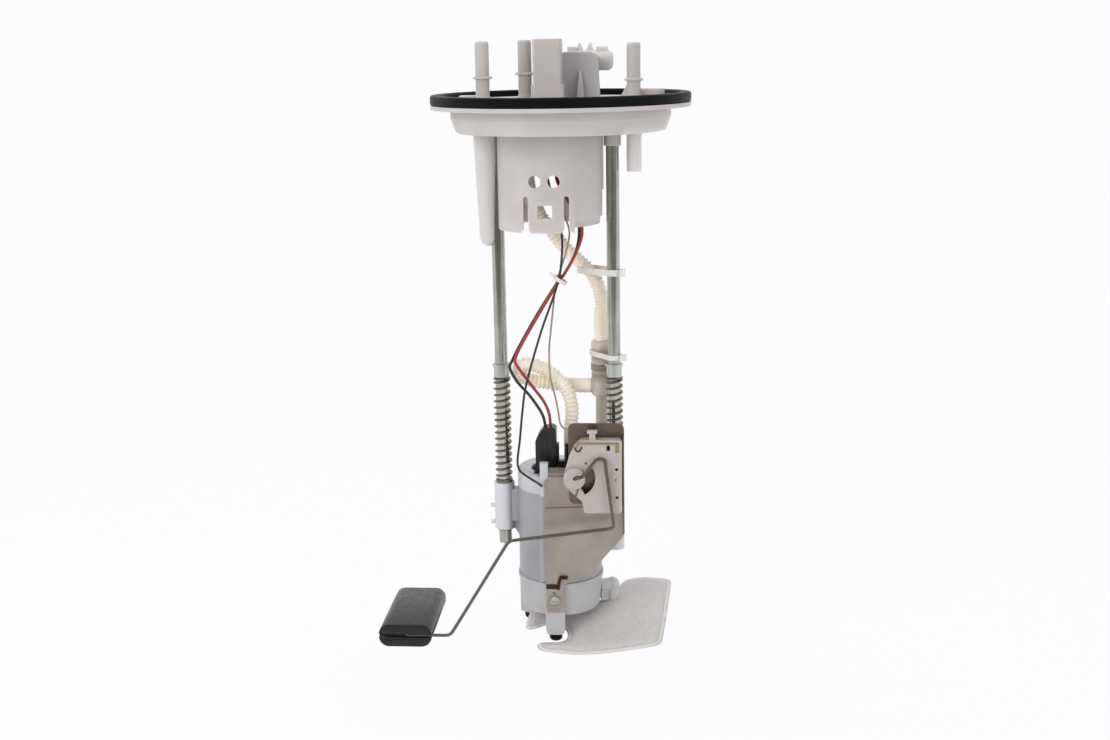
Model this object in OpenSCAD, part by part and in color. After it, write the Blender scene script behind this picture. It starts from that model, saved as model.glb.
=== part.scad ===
// In-tank fuel pump module. The tank flange carries two guide rods, and the
// reservoir with the pump, the level sender and the strainer slides on them.
// X points right, Y to the back, Z up. The origin is the centre of the seat
// where the flange's rim rests on the tank.

/* [Flange] */
// Diameter of the rim
rim_d = 150; // [146:1:156]
// Thickness of the rim under the seal
rim_h = 2.3; // [1.6:0.1:3]
// Height of the deck's top face over the seat
deck_h = 4.3; // [3.6:0.1:5]
// Thickness of the deck
deck_t = 3; // [2:0.1:3.4]
// Diameter of the spigot that enters the tank's opening
spigot_d = 127; // [122:1:130]
// Height of the spigot's straight land
spigot_land = 5; // [3:0.5:7]
// Depth of the spigot
spigot_h = 13.4; // [11:0.1:16]
// How much narrower the spigot's foot is, on the radius
spigot_taper = 2.5; // [1:0.1:3]
// Wall of the spigot
spigot_wall = 2.6; // [2:0.1:3.5]
// Thickness of the ribs under the deck
rib_t = 1.8; // [1.2:0.1:2.5]
// Width of the seal ring, across its section
seal_w = 5.8; // [4:0.1:7]
// Height of the seal ring
seal_h = 5.7; // [4:0.1:7]

/* [Pipe stubs and socket] */
// Diameter of the pipe stubs, the quick-connect size of 7.89 mm
stub_d = 7.89; // [6.3:0.01:9.49]
// Bore of the pipe stubs
stub_bore = 5.2; // [4:0.1:6]
// Height of the stubs over the seat
stub_top = 38; // [34:0.5:44]
// Height of the retaining bead over the seat
bead_z = 18; // [15:0.5:22]
// Diameter of the retaining bead
bead_d = 11.6; // [10:0.1:13]
// Width of the socket's shroud
socket_w = 15.9; // [13:0.1:18]
// Depth of the socket's shroud
socket_depth = 20; // [16:0.5:22]
// Height of the socket over the seat
socket_top = 38.4; // [34:0.5:44]
// Wall of the socket's shroud
socket_wall = 1.6; // [1.2:0.1:2]
// Height of the pressure sensor over the seat
sensor_top = 30.8; // [26:0.5:34]
// Radius of the vent valve's barrel
vent_r = 6; // [4.5:0.1:7]
// Length of the vent stub below the seat
vent_stub_l = 37.3; // [28:0.5:44]

// Diameter of the vent stub below the seat
vent_hose_d = 8.6; // [8:0.1:9.4]

/* [Skirt] */
// Outer radius of the skirt
skirt_r = 30.8; // [28:0.1:31]
// Wall of the skirt
skirt_wall = 2.2; // [1.6:0.1:3]
// Depth of the skirt's lower edge below the seat
skirt_depth = 69.4; // [64:0.5:76]
// Width of the slots between the skirt's fingers
slot_w = 3; // [2:0.1:4]
// Diameter of the two round holes in front
peep_d = 7.1; // [5:0.1:8.5]
// Side of the square window in the middle finger
window_w = 8.4; // [6:0.1:10]

/* [Rods and springs] */
// Distance between the two guide rods
rod_span = 67.8; // [65:0.2:71]
// Diameter of the guide rods
rod_d = 7.7; // [7:0.1:8]
// Wall of the guide rods' tube
rod_wall = 1.2; // [0.8:0.1:2]
// Depth of the rods' lower ends below the seat
rod_depth = 263.8; // [262:0.2:266]
// Running clearance of the ears on the rods, on the radius
slide_gap = 0.06; // [0.03:0.01:0.09]
// Depth of the springs' upper seats below the seat
collar_depth = 159.3; // [155:0.1:163]
// Height of a spring collar
collar_h = 8; // [6:0.1:10]
// Wire diameter of the springs
spring_wire = 1.2; // [0.9:0.1:1.4]
// Coils of each spring
spring_coils = 18; // [14:1:20]

/* [Reservoir] */
// Outer radius of the reservoir
res_r = 25.3; // [24.6:0.1:26]
// Wall of the reservoir
res_wall = 1.8; // [1.4:0.1:2.2]
// Depth of the spring seats on the ears, below the flange's seat
ear_depth = 225.3; // [224:0.1:227]
// Height of the left ear's barrel
ear_h = 29.2; // [26:0.2:31]
// Outer radius of the ears' barrels
ear_r = 6.2; // [5.6:0.1:6.8]
// Depth of the reservoir cap's top
cap_depth = 215.5; // [214:0.1:217]
// Height of the cap
cap_h = 11; // [9:0.1:12]
// Depth of the seam between the can and the cup
seam_depth = 281.8; // [280:0.1:284]
// Height of the cup
cup_h = 21.7; // [19:0.1:24]
// Height of the legs below the cup's floor
leg_drop = 10.3; // [9:0.1:11]
// Width of a leg
leg_w = 11.4; // [9:0.1:13]
// Height of a rubber foot below its leg
foot_h = 4.2; // [3:0.1:5]

/* [Pump] */
// Diameter of the pump's case
pump_d = 38; // [36:0.5:40]
// Wall of the pump's case
case_wall = 1.4; // [1:0.1:1.8]
// Height of the pump's case
case_h = 60; // [56:0.5:64]
// Diameter of the armature
armature_d = 26; // [24:0.5:27]
// Diameter of the motor's shaft
shaft_d = 3.2; // [2.6:0.1:4]
// Slots of the armature
armature_slots = 8; // [6:1:10]
// Vanes of the impeller
impeller_vanes = 30; // [20:1:36]
// Lift of the outlet poppet
poppet_lift = 2; // [1.5:0.1:2.5]

/* [Hoses and regulator] */
// Outer diameter of the corrugated hoses at their crests
hose_d = 9; // [8.4:0.1:9.4]
// Depth of a corrugation
hose_groove = 0.7; // [0.4:0.1:1]
// Pitch of the corrugations
hose_pitch = 2.6; // [2.2:0.1:3.4]
// Inner diameter of the hoses
hose_bore = 5.9; // [5.4:0.1:6.2]
// Outer radius of the regulator's body
reg_r = 6.1; // [5.6:0.1:6.6]
// Height of the regulator's body
reg_h = 34.3; // [31:0.1:37]
// Diameter of the return tube
return_d = 7.4; // [6.8:0.1:8]

/* [Level sender] */
// Thickness of the sender's sheet metal
sheet_t = 1; // [0.7:0.1:1.2]
// Depth of the sender's housing, front to back
housing_d = 7.2; // [6.4:0.1:8]
// Wall of the sender's housing
housing_wall = 1.4; // [1.1:0.1:1.8]
// Diameter of the float arm's wire
arm_d = 2; // [1.6:0.1:2.4]
// Radius of the hub's stem in the housing
stem_r = 3; // [2.6:0.1:3.4]
// Width of the float
float_w = 32; // [28:0.5:34]
// Height of the float
float_h = 14; // [12:0.5:15]
// Length of the float
float_l = 62; // [56:1:66]

/* [Strainer] */
// Tilt of the strainer sock
sock_tilt = 17; // [14:0.5:18]
// Width of the welded hem
hem_w = 1.4; // [1:0.1:1.6]
// Thickness of the sock's pillow
sock_t = 4.6; // [3:0.1:5]

/* [Hidden] */

// Gaps between pieces that seat on each other
seat_gap = 0.05;
fit_gap = 0.15;

// Places of the module's axis, its rods and what stands on the deck
module_x = -4.3;
left_x = module_x - rod_span / 2;
right_x = module_x + rod_span / 2;
skirt_x = -6.5;
rod_r = rod_d / 2;
rim_r = rim_d / 2;
spigot_r = spigot_d / 2;
deck_low = deck_h - deck_t;
seal_in_r = rim_r - seal_w;
outlet_xy = [-21, 8];
vapour_xy = [-43.2, -14];
vent_xy = [42.1, 0];
socket_xy = [-6.65, -5];
socket_floor = 12;
hollow_r = spigot_r - spigot_taper - spigot_wall;
rod_top = 4;
rib_low = spigot_h - 5;
pedestal_top = 18.9;
// The outlet's sleeve and the barb that goes on below it
sleeve_l = 18;
barb_l = 30;

// Heights of the reservoir's stack
ear_z = -ear_depth;
cap_z = -cap_depth;
can_top = cap_z - cap_h;
seam_z = -seam_depth;
cup_low = seam_z - cup_h;
leg_low = cup_low - leg_drop;
foot_low = leg_low - foot_h;

// Depths of the sender's layers, from the sheet's back face forward
plate_gap = 2;
sheet_y = -(res_r + plate_gap);
plate_y = sheet_y - sheet_t - seat_gap;
housing_y = plate_y - sheet_t - seat_gap;
hub_t = 2.6;
hub_gap = 0.3;
hub_y = housing_y - housing_d - hub_gap;
card_t = 0.8;
wiper_t = 0.4;
wiper_y = housing_y - card_t - 2 * seat_gap;
stem_l = wiper_y - wiper_t - seat_gap - hub_y;
arm_y = hub_y - hub_t - arm_d / 2 + 0.6;
pivot = [7.4, -211.6];
screw_x = -6.3;
screw_z = -291.4;

// The pump's stack
pump_r = pump_d / 2;
pump_top = -225;
pump_low = pump_top - case_h;
outlet_x = module_x + 7.4;
outlet_y = 2;
barb_r = hose_bore / 2 - 0.1;

// Colours
nylon = [0.75, 0.73, 0.72];
pale = [0.83, 0.81, 0.79];
hose_colour = [0.86, 0.80, 0.73];
steel = [0.55, 0.55, 0.52];
dark_steel = [0.38, 0.34, 0.29];
black = [0.12, 0.12, 0.12];
grey_plastic = [0.54, 0.54, 0.55];
can_colour = [0.66, 0.66, 0.68];
brass = [0.72, 0.60, 0.30];
copper = [0.72, 0.42, 0.26];

// Points along an arc of a circle
function arc(c, r, from, to, n = 8) =
  [for (i = [0:n]) c + r * [cos(from + (to - from) * i / n), sin(from + (to - from) * i / n)]];

function unit(v) = v / norm(v);
function bezier(a, b, c, t) = (1 - t) * (1 - t) * a + 2 * t * (1 - t) * b + t * t * c;

// One corner of a path, cut back by r and rounded
function bend(a, p, b, r, n) =
  let (s = min(r, norm(a - p) * 0.48), e = min(r, norm(b - p) * 0.48),
       from = p + s * unit(a - p), to = p + e * unit(b - p))
  [for (i = [0:n]) bezier(from, p, to, i / n)];

// A closed outline with rounded corners
function rounded(p, r, n = 4) =
  let (m = len(p))
  [for (i = [0:m - 1]) each bend(p[(i + m - 1) % m], p[i], p[(i + 1) % m], r, n)];

// An open path with rounded bends, in space
function bent(p, r, n = 4) =
  concat([p[0]], [for (i = [1:len(p) - 2]) each bend(p[i - 1], p[i], p[i + 1], r, n)], [p[len(p) - 1]]);

// A closed outline moved inwards by d; its points run counter-clockwise
function inset(p, d) =
  let (m = len(p))
  [for (i = [0:m - 1])
    let (u = unit(p[i] - p[(i + m - 1) % m]), v = unit(p[(i + 1) % m] - p[i]),
         n = unit([-u[1] - v[1], u[0] + v[0]]))
    p[i] + d * n / max(0.5, n * [-u[1], u[0]])];

// A rectangle with rounded corners, about a centre
function box_outline(c, w, h, r) =
  rounded([c + [-w, -h] / 2, c + [w, -h] / 2, c + [w, h] / 2, c + [-w, h] / 2], r);

// A smooth curve through chosen points
function catmull(a, b, c, d, t) =
  0.5 * (2 * b + (c - a) * t + (2 * a - 5 * b + 4 * c - d) * t * t + (3 * b - a - 3 * c + d) * t * t * t);
function smooth_path(p, n) =
  let (m = len(p) - 1)
  concat([for (i = [0:m - 1], k = [0:n - 1])
    catmull(p[max(i - 1, 0)], p[i], p[i + 1], p[min(i + 2, m)], k / n)], [p[m]]);

// The curve's length up to each point, and points at even distances along it
function lengths(p, i = 0, total = 0, out = []) =
  i == len(p) ? out :
  let (s = total + (i == 0 ? 0 : norm(p[i] - p[i - 1]))) lengths(p, i + 1, s, concat(out, [s]));
function at_length(p, s, d) =
  [for (axis = [0:2]) lookup(d, [for (i = [0:len(p) - 1]) [s[i], p[i][axis]]])];
function even_path(p, step) =
  let (s = lengths(p), n = max(2, round(s[len(s) - 1] / step)))
  [for (i = [0:n]) at_length(p, s, s[len(s) - 1] * i / n)];

// Directions along a path, and normals that don't twist round it
function tangents(p) =
  [for (i = [0:len(p) - 1]) unit(p[min(i + 1, len(p) - 1)] - p[max(i - 1, 0)])];
function normals(t, i = 0, last = [0, 0, 0], out = []) =
  i == len(t) ? out :
  let (side = abs(t[0][1]) < 0.9 ? [0, 1, 0] : [1, 0, 0],
       n = i == 0 ? unit(cross(t[0], side)) : unit(last - (last * t[i]) * t[i]))
  normals(t, i + 1, n, concat(out, [n]));

// Rings of points round a path, with a radius for each
function rings(p, radii, sides) =
  let (t = tangents(p), n = normals(t))
  [for (i = [0:len(p) - 1]) let (b = cross(t[i], n[i]))
    [for (k = [0:sides - 1]) p[i] + radii[i] * (cos(360 * k / sides) * n[i] + sin(360 * k / sides) * b)]];

// A skin over rings, with flat ends, or closed on itself
module skin(r, closed = false) {
  s = len(r[0]);
  m = len(r);
  links = closed ? m - 1 : m - 2;
  walls = [for (i = [0:links], k = [0:s - 1])
    let (a = i * s + k, b = i * s + (k + 1) % s, j = ((i + 1) % m) * s, d = j + k, c = j + (k + 1) % s)
    each [[a, d, c], [a, c, b]]];
  ends = closed ? [] : [[for (k = [0:s - 1]) k], [for (k = [s - 1:-1:0]) (m - 1) * s + k]];
  polyhedron([for (one = r) each one], concat(walls, ends), convexity = 10);
}

function same(p, r) = [for (i = [0:len(p) - 1]) r];

// A solid wire along a path
module wire(p, d, sides = 6) {
  skin(rings(p, same(p, d / 2), sides));
}

// A hose with a smooth bore; its crests lie between two shares of its length
module hose(p, from, to, sides = 10) {
  path = even_path(smooth_path(p, 6), hose_pitch / 2);
  last = len(path) - 1;
  crest = hose_d / 2;
  outer = [for (i = [0:last])
    i > from * last && i < to * last && i % 2 == 1 ? crest - hose_groove : crest];
  t = rings(path, outer, sides);
  bore = rings(path, same(path, hose_bore / 2 / cos(180 / sides)), sides);
  skin(concat(t, [for (i = [last:-4:1]) bore[i]], [bore[0]]), closed = true);
}

// A slab drawn in X and Z, from the depth y forward
module slab(y, t) {
  translate([0, y, 0]) rotate([90, 0, 0]) linear_extrude(t) children();
}

// A tube standing on z
module tube(r, bore, h) {
  difference() {
    cylinder(r = r, h = h, $fn = 64);
    translate([0, 0, -1]) cylinder(r = bore, h = h + 2, $fn = 64);
  }
}

// A band round two posts that stand side by side
module strap(a, ra, b, rb, z, h, t) {
  translate([0, 0, z - h / 2]) linear_extrude(h) difference() {
    hull() {
      translate(a) circle(r = ra + t, $fn = 32);
      translate(b) circle(r = rb + t, $fn = 32);
    }
    hull() {
      translate(a) circle(r = ra, $fn = 32);
      translate(b) circle(r = rb, $fn = 32);
    }
  }
}

// One pipe stub with its bead, from the deck's top face
module stub(xy, top, bead, d) {
  r = stub_d / 2;
  translate([xy[0], xy[1], 0]) rotate_extrude($fn = 64) polygon([
    [0, deck_low + 0.5], [r + 2, deck_low + 0.5], [r + 2, deck_h], [r + 0.6, deck_h + 1.2], [r, deck_h + 3],
    [r, bead - 1], [d / 2 - 0.3, bead - 0.7], [d / 2, bead], [d / 2 - 0.3, bead + 0.4], [r, bead + 0.9],
    [r, top - 1.2], [r - 0.7, top], [0, top]]);
}

// The disc, rim and hollow spigot with the radial ribs under the deck
module flange_body() {
  foot = 1.4;
  sr = spigot_r - spigot_taper;
  difference() {
    union() {
      rotate_extrude($fn = 120) polygon(concat(
        [[0, deck_low], [hollow_r + 1, deck_low], [hollow_r, -spigot_h + 0.6], [hollow_r + 0.6, -spigot_h]],
        arc([sr - foot, -spigot_h + foot], foot, -90, -10, 5),
        [[spigot_r, -spigot_land], [spigot_r, 0], [rim_r, 0], [rim_r, rim_h],
         [seal_in_r - fit_gap, rim_h], [seal_in_r - fit_gap, deck_h - 0.6],
         [seal_in_r - fit_gap - 0.6, deck_h], [0, deck_h]]));
      for (a = [0:45:315]) rotate([0, 0, a]) translate([skirt_r - 8, -rib_t / 2, -rib_low])
        cube([hollow_r - skirt_r + 8.5, rib_t, rib_low + deck_low + 0.1]);
    }
    // room for the skirt and its boss, which seat on the deck's underside
    translate([skirt_x, 0, -20]) cylinder(r = skirt_r + fit_gap, h = 20 + deck_low, $fn = 96);
    translate([boss_x, 0, -20]) cylinder(r = boss_r + fit_gap, h = 20 + deck_low, $fn = 64);
  }
}

module flange() {
  color(nylon) difference() {
    union() {
      flange_body();
      stub(outlet_xy, stub_top, bead_z + 1, bead_d);
      stub(vapour_xy, stub_top - 0.4, bead_z - 0.4, bead_d);
      stub(vent_xy, stub_top - 2.4, bead_z - 3, bead_d - 0.6);
      // the vent stub goes on below the deck, and the outlet ends in a barb for its hose
      translate([vent_xy[0], vent_xy[1], -vent_stub_l]) cylinder(r = vent_hose_d / 2, h = vent_stub_l + 2, $fn = 64);
      translate([vent_xy[0], vent_xy[1], -16]) cylinder(r = vent_hose_d / 2 + 0.7, h = 18, $fn = 64);
      translate([outlet_xy[0], outlet_xy[1], -barb_l]) cylinder(r = barb_r, h = barb_l + 2, $fn = 48);
      translate([outlet_xy[0], outlet_xy[1], -sleeve_l]) cylinder(r = hose_d / 2, h = sleeve_l + 2, $fn = 48);
      // the right rod's socket
      translate([right_x, 0, -22.3]) cylinder(r = 5, h = 24, $fn = 64);
      // the electrical socket and its collar
      translate([socket_xy[0], socket_xy[1], deck_h - 1]) linear_extrude(socket_top - deck_h + 1)
        polygon(box_outline([0, 0], socket_w, socket_depth, 1.6));
      translate([socket_xy[0], socket_xy[1], deck_h - 1]) linear_extrude(9.7)
        polygon(box_outline([0, 0], socket_w + 2.3, socket_depth + 2.3, 2));
      // the vent valve's pedestal, the pads and the gussets
      translate([7, 22.5, deck_h - 1]) cube([11, 9, pedestal_top - deck_h + 1]);
      translate([-57.6, -10, deck_h - 1]) linear_extrude(4) polygon(box_outline([5, 5], 10, 14, 2));
      translate([53, 10, deck_h - 1]) cylinder(r = 6.8, h = 6, $fn = 64);
      translate([46.2, 3.2, deck_h - 1]) cube([7, 13.6, 5.4]);
      slab(rib_t / 2, rib_t) polygon([[vent_xy[0] - 8.4, deck_h - 0.5], [vent_xy[0] - 3, deck_h - 0.5],
        [vent_xy[0] - 3, 14]]);
      slab(6.4, 3.4) polygon([[9, deck_h - 0.5], [13.6, deck_h - 0.5], [11.9, 20], [11, 20]]);
    }
    // the stubs' bores, the rod's socket and the electrical socket's cavity
    translate([outlet_xy[0], outlet_xy[1], -40]) cylinder(r = stub_bore / 2 - 0.6, h = 90, $fn = 48);
    translate([vapour_xy[0], vapour_xy[1], -40]) cylinder(r = stub_bore / 2, h = 90, $fn = 48);
    translate([vent_xy[0], vent_xy[1], -40]) cylinder(r = stub_bore / 2, h = 90, $fn = 48);
    translate([right_x, 0, -23]) cylinder(r = rod_r + seat_gap, h = 23 - rod_top, $fn = 64);
    translate([socket_xy[0], socket_xy[1], socket_floor]) linear_extrude(40)
      polygon(box_outline([0, 0], socket_w - 2 * socket_wall, socket_depth - 2 * socket_wall, 1));
    for (i = [0:4]) translate([socket_xy[0], terminal_y(i), 5])
      cube([terminal_w + 0.1, 0.9, 16], center = true);
  }
}

terminal_w = 2.8;
function terminal_y(i) = socket_xy[1] + (i - 2) * 3.2;

module seal_ring() {
  w = seal_w;
  h = seal_h;
  color(black) rotate_extrude($fn = 120)
    translate([seal_in_r, rim_h]) polygon(rounded([[0, 0], [w, 0], [w, h], [0, h]], 1.6));
}

module socket_terminals() {
  color(brass) for (i = [0:4]) translate([socket_xy[0], terminal_y(i), 0]) {
    translate([-terminal_w / 2, -0.4, -8]) cube([terminal_w, 0.8, 36]);
    translate([-terminal_w / 2 + 0.5, -0.4, 28]) cube([terminal_w - 1, 0.8, 2]);
  }
}

module pressure_sensor() {
  w = 21.6;
  h = sensor_top - deck_h - seat_gap;
  outline = concat([[0, 0], [w, 0]], arc([w - 6, h - 5], 5, 0, 90, 8), [[1, h], [0, h - 1]]);
  color(grey_plastic) translate([0.6, 19.5, deck_h + seat_gap]) difference() {
    slab(0, 12) polygon(outline);
    // the sensor's side pocket
    translate([w - 1, -9, 5]) cube([2, 6, 12]);
  }
}

module vent_valve() {
  x = 4;
  l = 25.7;
  color(pale) translate([x, 27, pedestal_top + 0.8 + vent_r]) {
    rotate([0, 90, 0]) rotate_extrude($fn = 64) polygon(concat(
      [[0, 0], [vent_r - 0.8, 0], [vent_r, 0.8], [vent_r, l - 4]],
      arc([vent_r - 3.6, l - 3.6], 3.6, 10, 90, 6), [[0, l]]));
    for (fin = [5.9, 12.1]) translate([fin, 0, vent_r - 0.6]) slab(1.2, 2.4)
      polygon([[-2.4, 0], [2.4, 0], [0.5, 4.8], [-0.5, 4.8]]);
    translate([-1.2, -3, vent_r - 1.4]) cube([5, 6, 3.4]);
    translate([15.6, -3, vent_r - 1.4]) cube([7, 6, 3.2]);
    // the foot that sits on the pedestal
    translate([3, -4.5, -vent_r + seat_gap - 0.8]) cube([11, 9, 3.4]);
  }
}

boss_x = -43.7;
boss_r = 8.1;
module skirt() {
  boss_low = -75;
  tip_r = 5.2;
  top = deck_low - 0.02;
  color(nylon) difference() {
    union() {
      translate([skirt_x, 0, -skirt_depth]) tube(skirt_r, skirt_r - skirt_wall, skirt_depth + top);
      // the tapered boss of the left rod, with its round tip
      translate([boss_x, 0, boss_low])
        cylinder(r1 = tip_r, r2 = boss_r, h = top - boss_low, $fn = 64);
      translate([boss_x, 0, boss_low]) sphere(r = tip_r, $fn = 64);
    }
    translate([left_x, 0, -90]) cylinder(r = rod_r + seat_gap, h = 90 - rod_top, $fn = 64);
    // slots between the fingers, with the second one's pill-shaped top
    for (x = [-18.9, 4.3]) translate([x - slot_w / 2, -40, -90]) cube([slot_w, 20, 40]);
    for (x = [-18.9, 4.3]) translate([x, -20, -50]) rotate([90, 0, 0]) cylinder(d = slot_w, h = 20, $fn = 32);
    for (x = [-13.6, -2.6]) translate([x, -20, -40.2]) rotate([90, 0, 0])
      cylinder(d = peep_d, h = 20, $fn = 48);
    translate([-8 - window_w / 2, -40, -61]) cube([window_w, 20, window_w - 1]);
    // the opening at the back
    translate([-22.5, 10, -90]) cube([19, 40, 60]);
    // the right side steps in towards the lower edge
    translate([skirt_x, 0, 0]) rotate([0, 0, -60]) rotate_extrude(angle = 120, $fn = 96)
      polygon([[skirt_r - 0.8, -47], [skirt_r + 3, -47], [skirt_r + 3, -80], [skirt_r - 3, -80],
        [skirt_r - 2, -skirt_depth + 6], [skirt_r - 0.8, -skirt_depth + 7]]);
    // corners of the fingers at the lower edge
    for (x = [-18.9, 4.3]) translate([x, -30, -skirt_depth]) rotate([0, 45, 0])
      cube([4.6, 20, 4.6], center = true);
  }
}

module guide_rod(x, top) {
  color(steel) translate([x, 0, -rod_depth]) tube(rod_r, rod_r - rod_wall, rod_depth - top);
}

module rod_left() { guide_rod(left_x, rod_top + 0.5); }
module rod_right() { guide_rod(right_x, rod_top + 0.5); }

module spring_collars() {
  r = rod_r + seat_gap;
  color([0.72, 0.76, 0.72]) for (x = [left_x, right_x]) translate([x, 0, -collar_depth])
    rotate_extrude($fn = 64) polygon([[r, 0], [4.6, 0], [4.6, collar_h - 1.6], [5.4, collar_h - 1.4],
      [5.4, collar_h], [r, collar_h]]);
}

// The push nut that stops the left ear near the rod's lower end
module rod_clip() {
  color(dark_steel) translate([left_x, 0, ear_z - ear_h - 0.9 - seat_gap]) tube(4.9, rod_r + seat_gap, 0.9);
}

module inner_plug() {
  w = 13;
  color(pale) difference() {
    translate([socket_xy[0], socket_xy[1], -36]) linear_extrude(36 + deck_low - seat_gap)
      polygon(box_outline([0, 0], w, 18, 1.5));
    for (i = [0:4]) translate([socket_xy[0], terminal_y(i), -3]) cube([terminal_w + 0.2, 1, 12], center = true);
    for (p = wire_tops) translate([p[0], p[1], -37]) cylinder(d = 2.2, h = 6, $fn = 24);
  }
}

// Tops of the red, black, thin black and thin tan wires under the plug
wire_tops = [[-2.5, -9], [-2.5, -5.5], [-8.5, -9], [-8.5, -4]];

// The T's top and its branch stand over the spring collars
reg_top = 19.3 - collar_depth;
branch_z = reg_top - 28.2;

// Points past the height "still", stretched so that the height "old" comes to "new"
function stretched(p, still, old, new) =
  [for (q = p) (q[2] - still) * (old - still) > 0
    ? [q[0], q[1], still + (q[2] - still) * (new - still) / (old - still)] : q];

// Routes of the hoses and wires, chosen points in millimetres
delivery_route = [[-21, 8, -18.1], [-21, 8, -32], [-20.5, 8, -46], [-15.5, 9, -61], [-6.6, 10, -73.6],
  [1, 11, -84], [9, 12, -91.6], [16.6, 12.6, -99.4], [20.6, 13.4, -108.8], [22, 14, -118.4],
  [21.4, 14, -128.5], [21.4, 14, -139.9]];
pump_route = [[outlet_x, outlet_y, -200.9], [outlet_x, outlet_y, -189.5], [3.8, 2, -181], [2.4, 2.4, -172],
  [-1.6, 3.2, -165], [-7.4, 4.4, -159.4], [-14, 6, -155.8], [-20.6, 8, -153.8], [-26.6, 10.2, -154.8],
  [-29.4, 12, -159], [-26.8, 13.4, -164], [-20, 14, -167.4], [-12, 14, -168.2], [-2, 14, -168.2],
  [9.2, 14, -168.2]];
red_route = [[-2.5, -9, -33], [-2, -9, -42], [4, -9, -52], [10, -9, -62], [11.9, -8, -72.4], [7.9, -9, -84.2],
  [1.3, -10.6, -95.8], [-1.4, -10.8, -99.2], [-13.2, -12.6, -117.9], [-23.8, -14.6, -136],
  [-28, -15.6, -145.1], [-27.2, -15, -149.6], [-19.2, -13.6, -161.4], [-12, -12, -172],
  [-9, -11, -180.2], [-8.4, -10, -189]];
black_route = [[-2.5, -5.5, -33], [-2, -5.5, -42], [3, -6, -52], [8.6, -6, -62], [10.1, -6, -72.4],
  [7.6, -6.8, -84.2], [1.8, -8.4, -95.8], [-0.8, -8.8, -99.2], [-12.8, -10.4, -117.9],
  [-23.6, -12.4, -136], [-29.4, -13.6, -146], [-31.6, -14, -151], [-27.4, -14, -159.4],
  [-19.6, -13, -169], [-13, -11.6, -180.2], [-11.4, -10, -189]];
thin_black_route = [[-8.5, -9, -33], [-8.3, -9.2, -38], [-6, -11, -46], [-2, -11.4, -58], [0, -11, -70.8], [0.4, -11.4, -80],
  [-0.6, -12.4, -92], [-2.3, -12.7, -100], [-5.4, -13.6, -109.6], [-13, -16, -130.4], [-21.6, -18.6, -160],
  [-24.2, -21, -177], [-25.6, -24, -192], [-27, -26.4, -203.5], [-26.4, -28, -208.4],
  [-24.2, -29, -211.2], [-18.9, -29.4, -214.8], [-14.4, -29.4, -217.8], [-12.6, -29.2, -219.4]];
thin_tan_route = [[-8.5, -4, -33], [-6.5, -4, -46], [-0.5, -4.4, -58], [4.2, -5, -70.8], [2.4, -6, -82.4],
  [-0.6, -8.2, -92], [-2.9, -8.6, -98.6], [-4.1, -7.4, -103.4], [-5.2, -6.8, -111], [-7.6, -6.4, -131],
  [-8.8, -5.4, -142.7],
  [-9, -4.6, -158.7], [-7.2, -5, -174], [-4.6, -9, -185.3], [-2.8, -16, -189], [-1, -22, -190.6],
  [1.2, -26.2, -191]];

module hose_delivery() { color(hose_colour) hose(stretched(delivery_route, -32, -140, reg_top), 0.33, 0.86); }
module hose_pump() {
  color(hose_colour) hose(stretched(pump_route, -189.5, -168.2, branch_z), 0.06, 0.84);
}
module wire_red() { color([0.6, 0.15, 0.12]) wire(smooth_path(red_route, 2), 1.8); }
module wire_black() { color(black) wire(smooth_path(black_route, 2), 1.8); }
module sender_wire_black() { color(black) wire(smooth_path(thin_black_route, 2), 1.4, 5); }
module sender_wire_tan() { color([0.60, 0.52, 0.40]) wire(smooth_path(thin_tan_route, 2), 1.1, 5); }

reg_xy = [21.4, 14];
reg_low = reg_top - reg_h;
module regulator_body() {
  color(pale) difference() {
    union() {
      translate([reg_xy[0], reg_xy[1], 0]) rotate_extrude($fn = 64) polygon([[0, reg_low + 1.2],
        [reg_r - 1.2, reg_low], [reg_r, reg_low + 1.2], [reg_r, reg_top - 18.2], [reg_r - 0.8, reg_top - 18.2],
        [reg_r - 0.8, reg_top - 14.2], [reg_r, reg_top - 14.2], [reg_r, reg_top - 1], [reg_r - 1, reg_top],
        [barb_r, reg_top], [barb_r, reg_top + 9], [barb_r - 0.5, reg_top + 10], [0, reg_top + 10]]);
      // the branch that the pump's hose slides on, with its shoulder
      translate([-1, reg_xy[1], branch_z]) rotate([0, 90, 0]) cylinder(r = barb_r, h = 20, $fn = 48);
      translate([9.4, reg_xy[1], branch_z]) rotate([0, 90, 0]) cylinder(r = 4.2, h = 8, $fn = 48);
    }
    translate([reg_xy[0], reg_xy[1], reg_low + 3]) cylinder(r = 1.9, h = 50, $fn = 48);
    translate([-14, reg_xy[1], branch_z]) rotate([0, 90, 0]) cylinder(r = 1.9, h = reg_xy[0] + 14, $fn = 48);
    // the relief valve's seat
    translate([reg_xy[0], reg_xy[1], reg_low - 1]) cylinder(r = relief_r, h = 5, $fn = 48);
  }
}

module regulator_band() {
  color(dark_steel) translate([reg_xy[0], reg_xy[1], reg_top - 18]) tube(reg_r + 0.3, reg_r - 0.8 + seat_gap, 3.6);
}

relief_floor = reg_low - 13;
module return_tube() {
  r = return_d / 2;
  low = reg_low - seat_gap - 58;
  color(pale) translate([reg_xy[0], reg_xy[1], 0]) difference() {
    translate([0, 0, low]) cylinder(r = r, h = reg_low - seat_gap - low, $fn = 48);
    translate([0, 0, low - 1]) cylinder(r = r - 1, h = relief_floor - low, $fn = 48);
    translate([0, 0, low]) cylinder(r = 1.2, h = 60, $fn = 48);
    translate([0, 0, relief_floor]) cylinder(r = ball_r + 0.3, h = 20, $fn = 48);
  }
}

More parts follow.
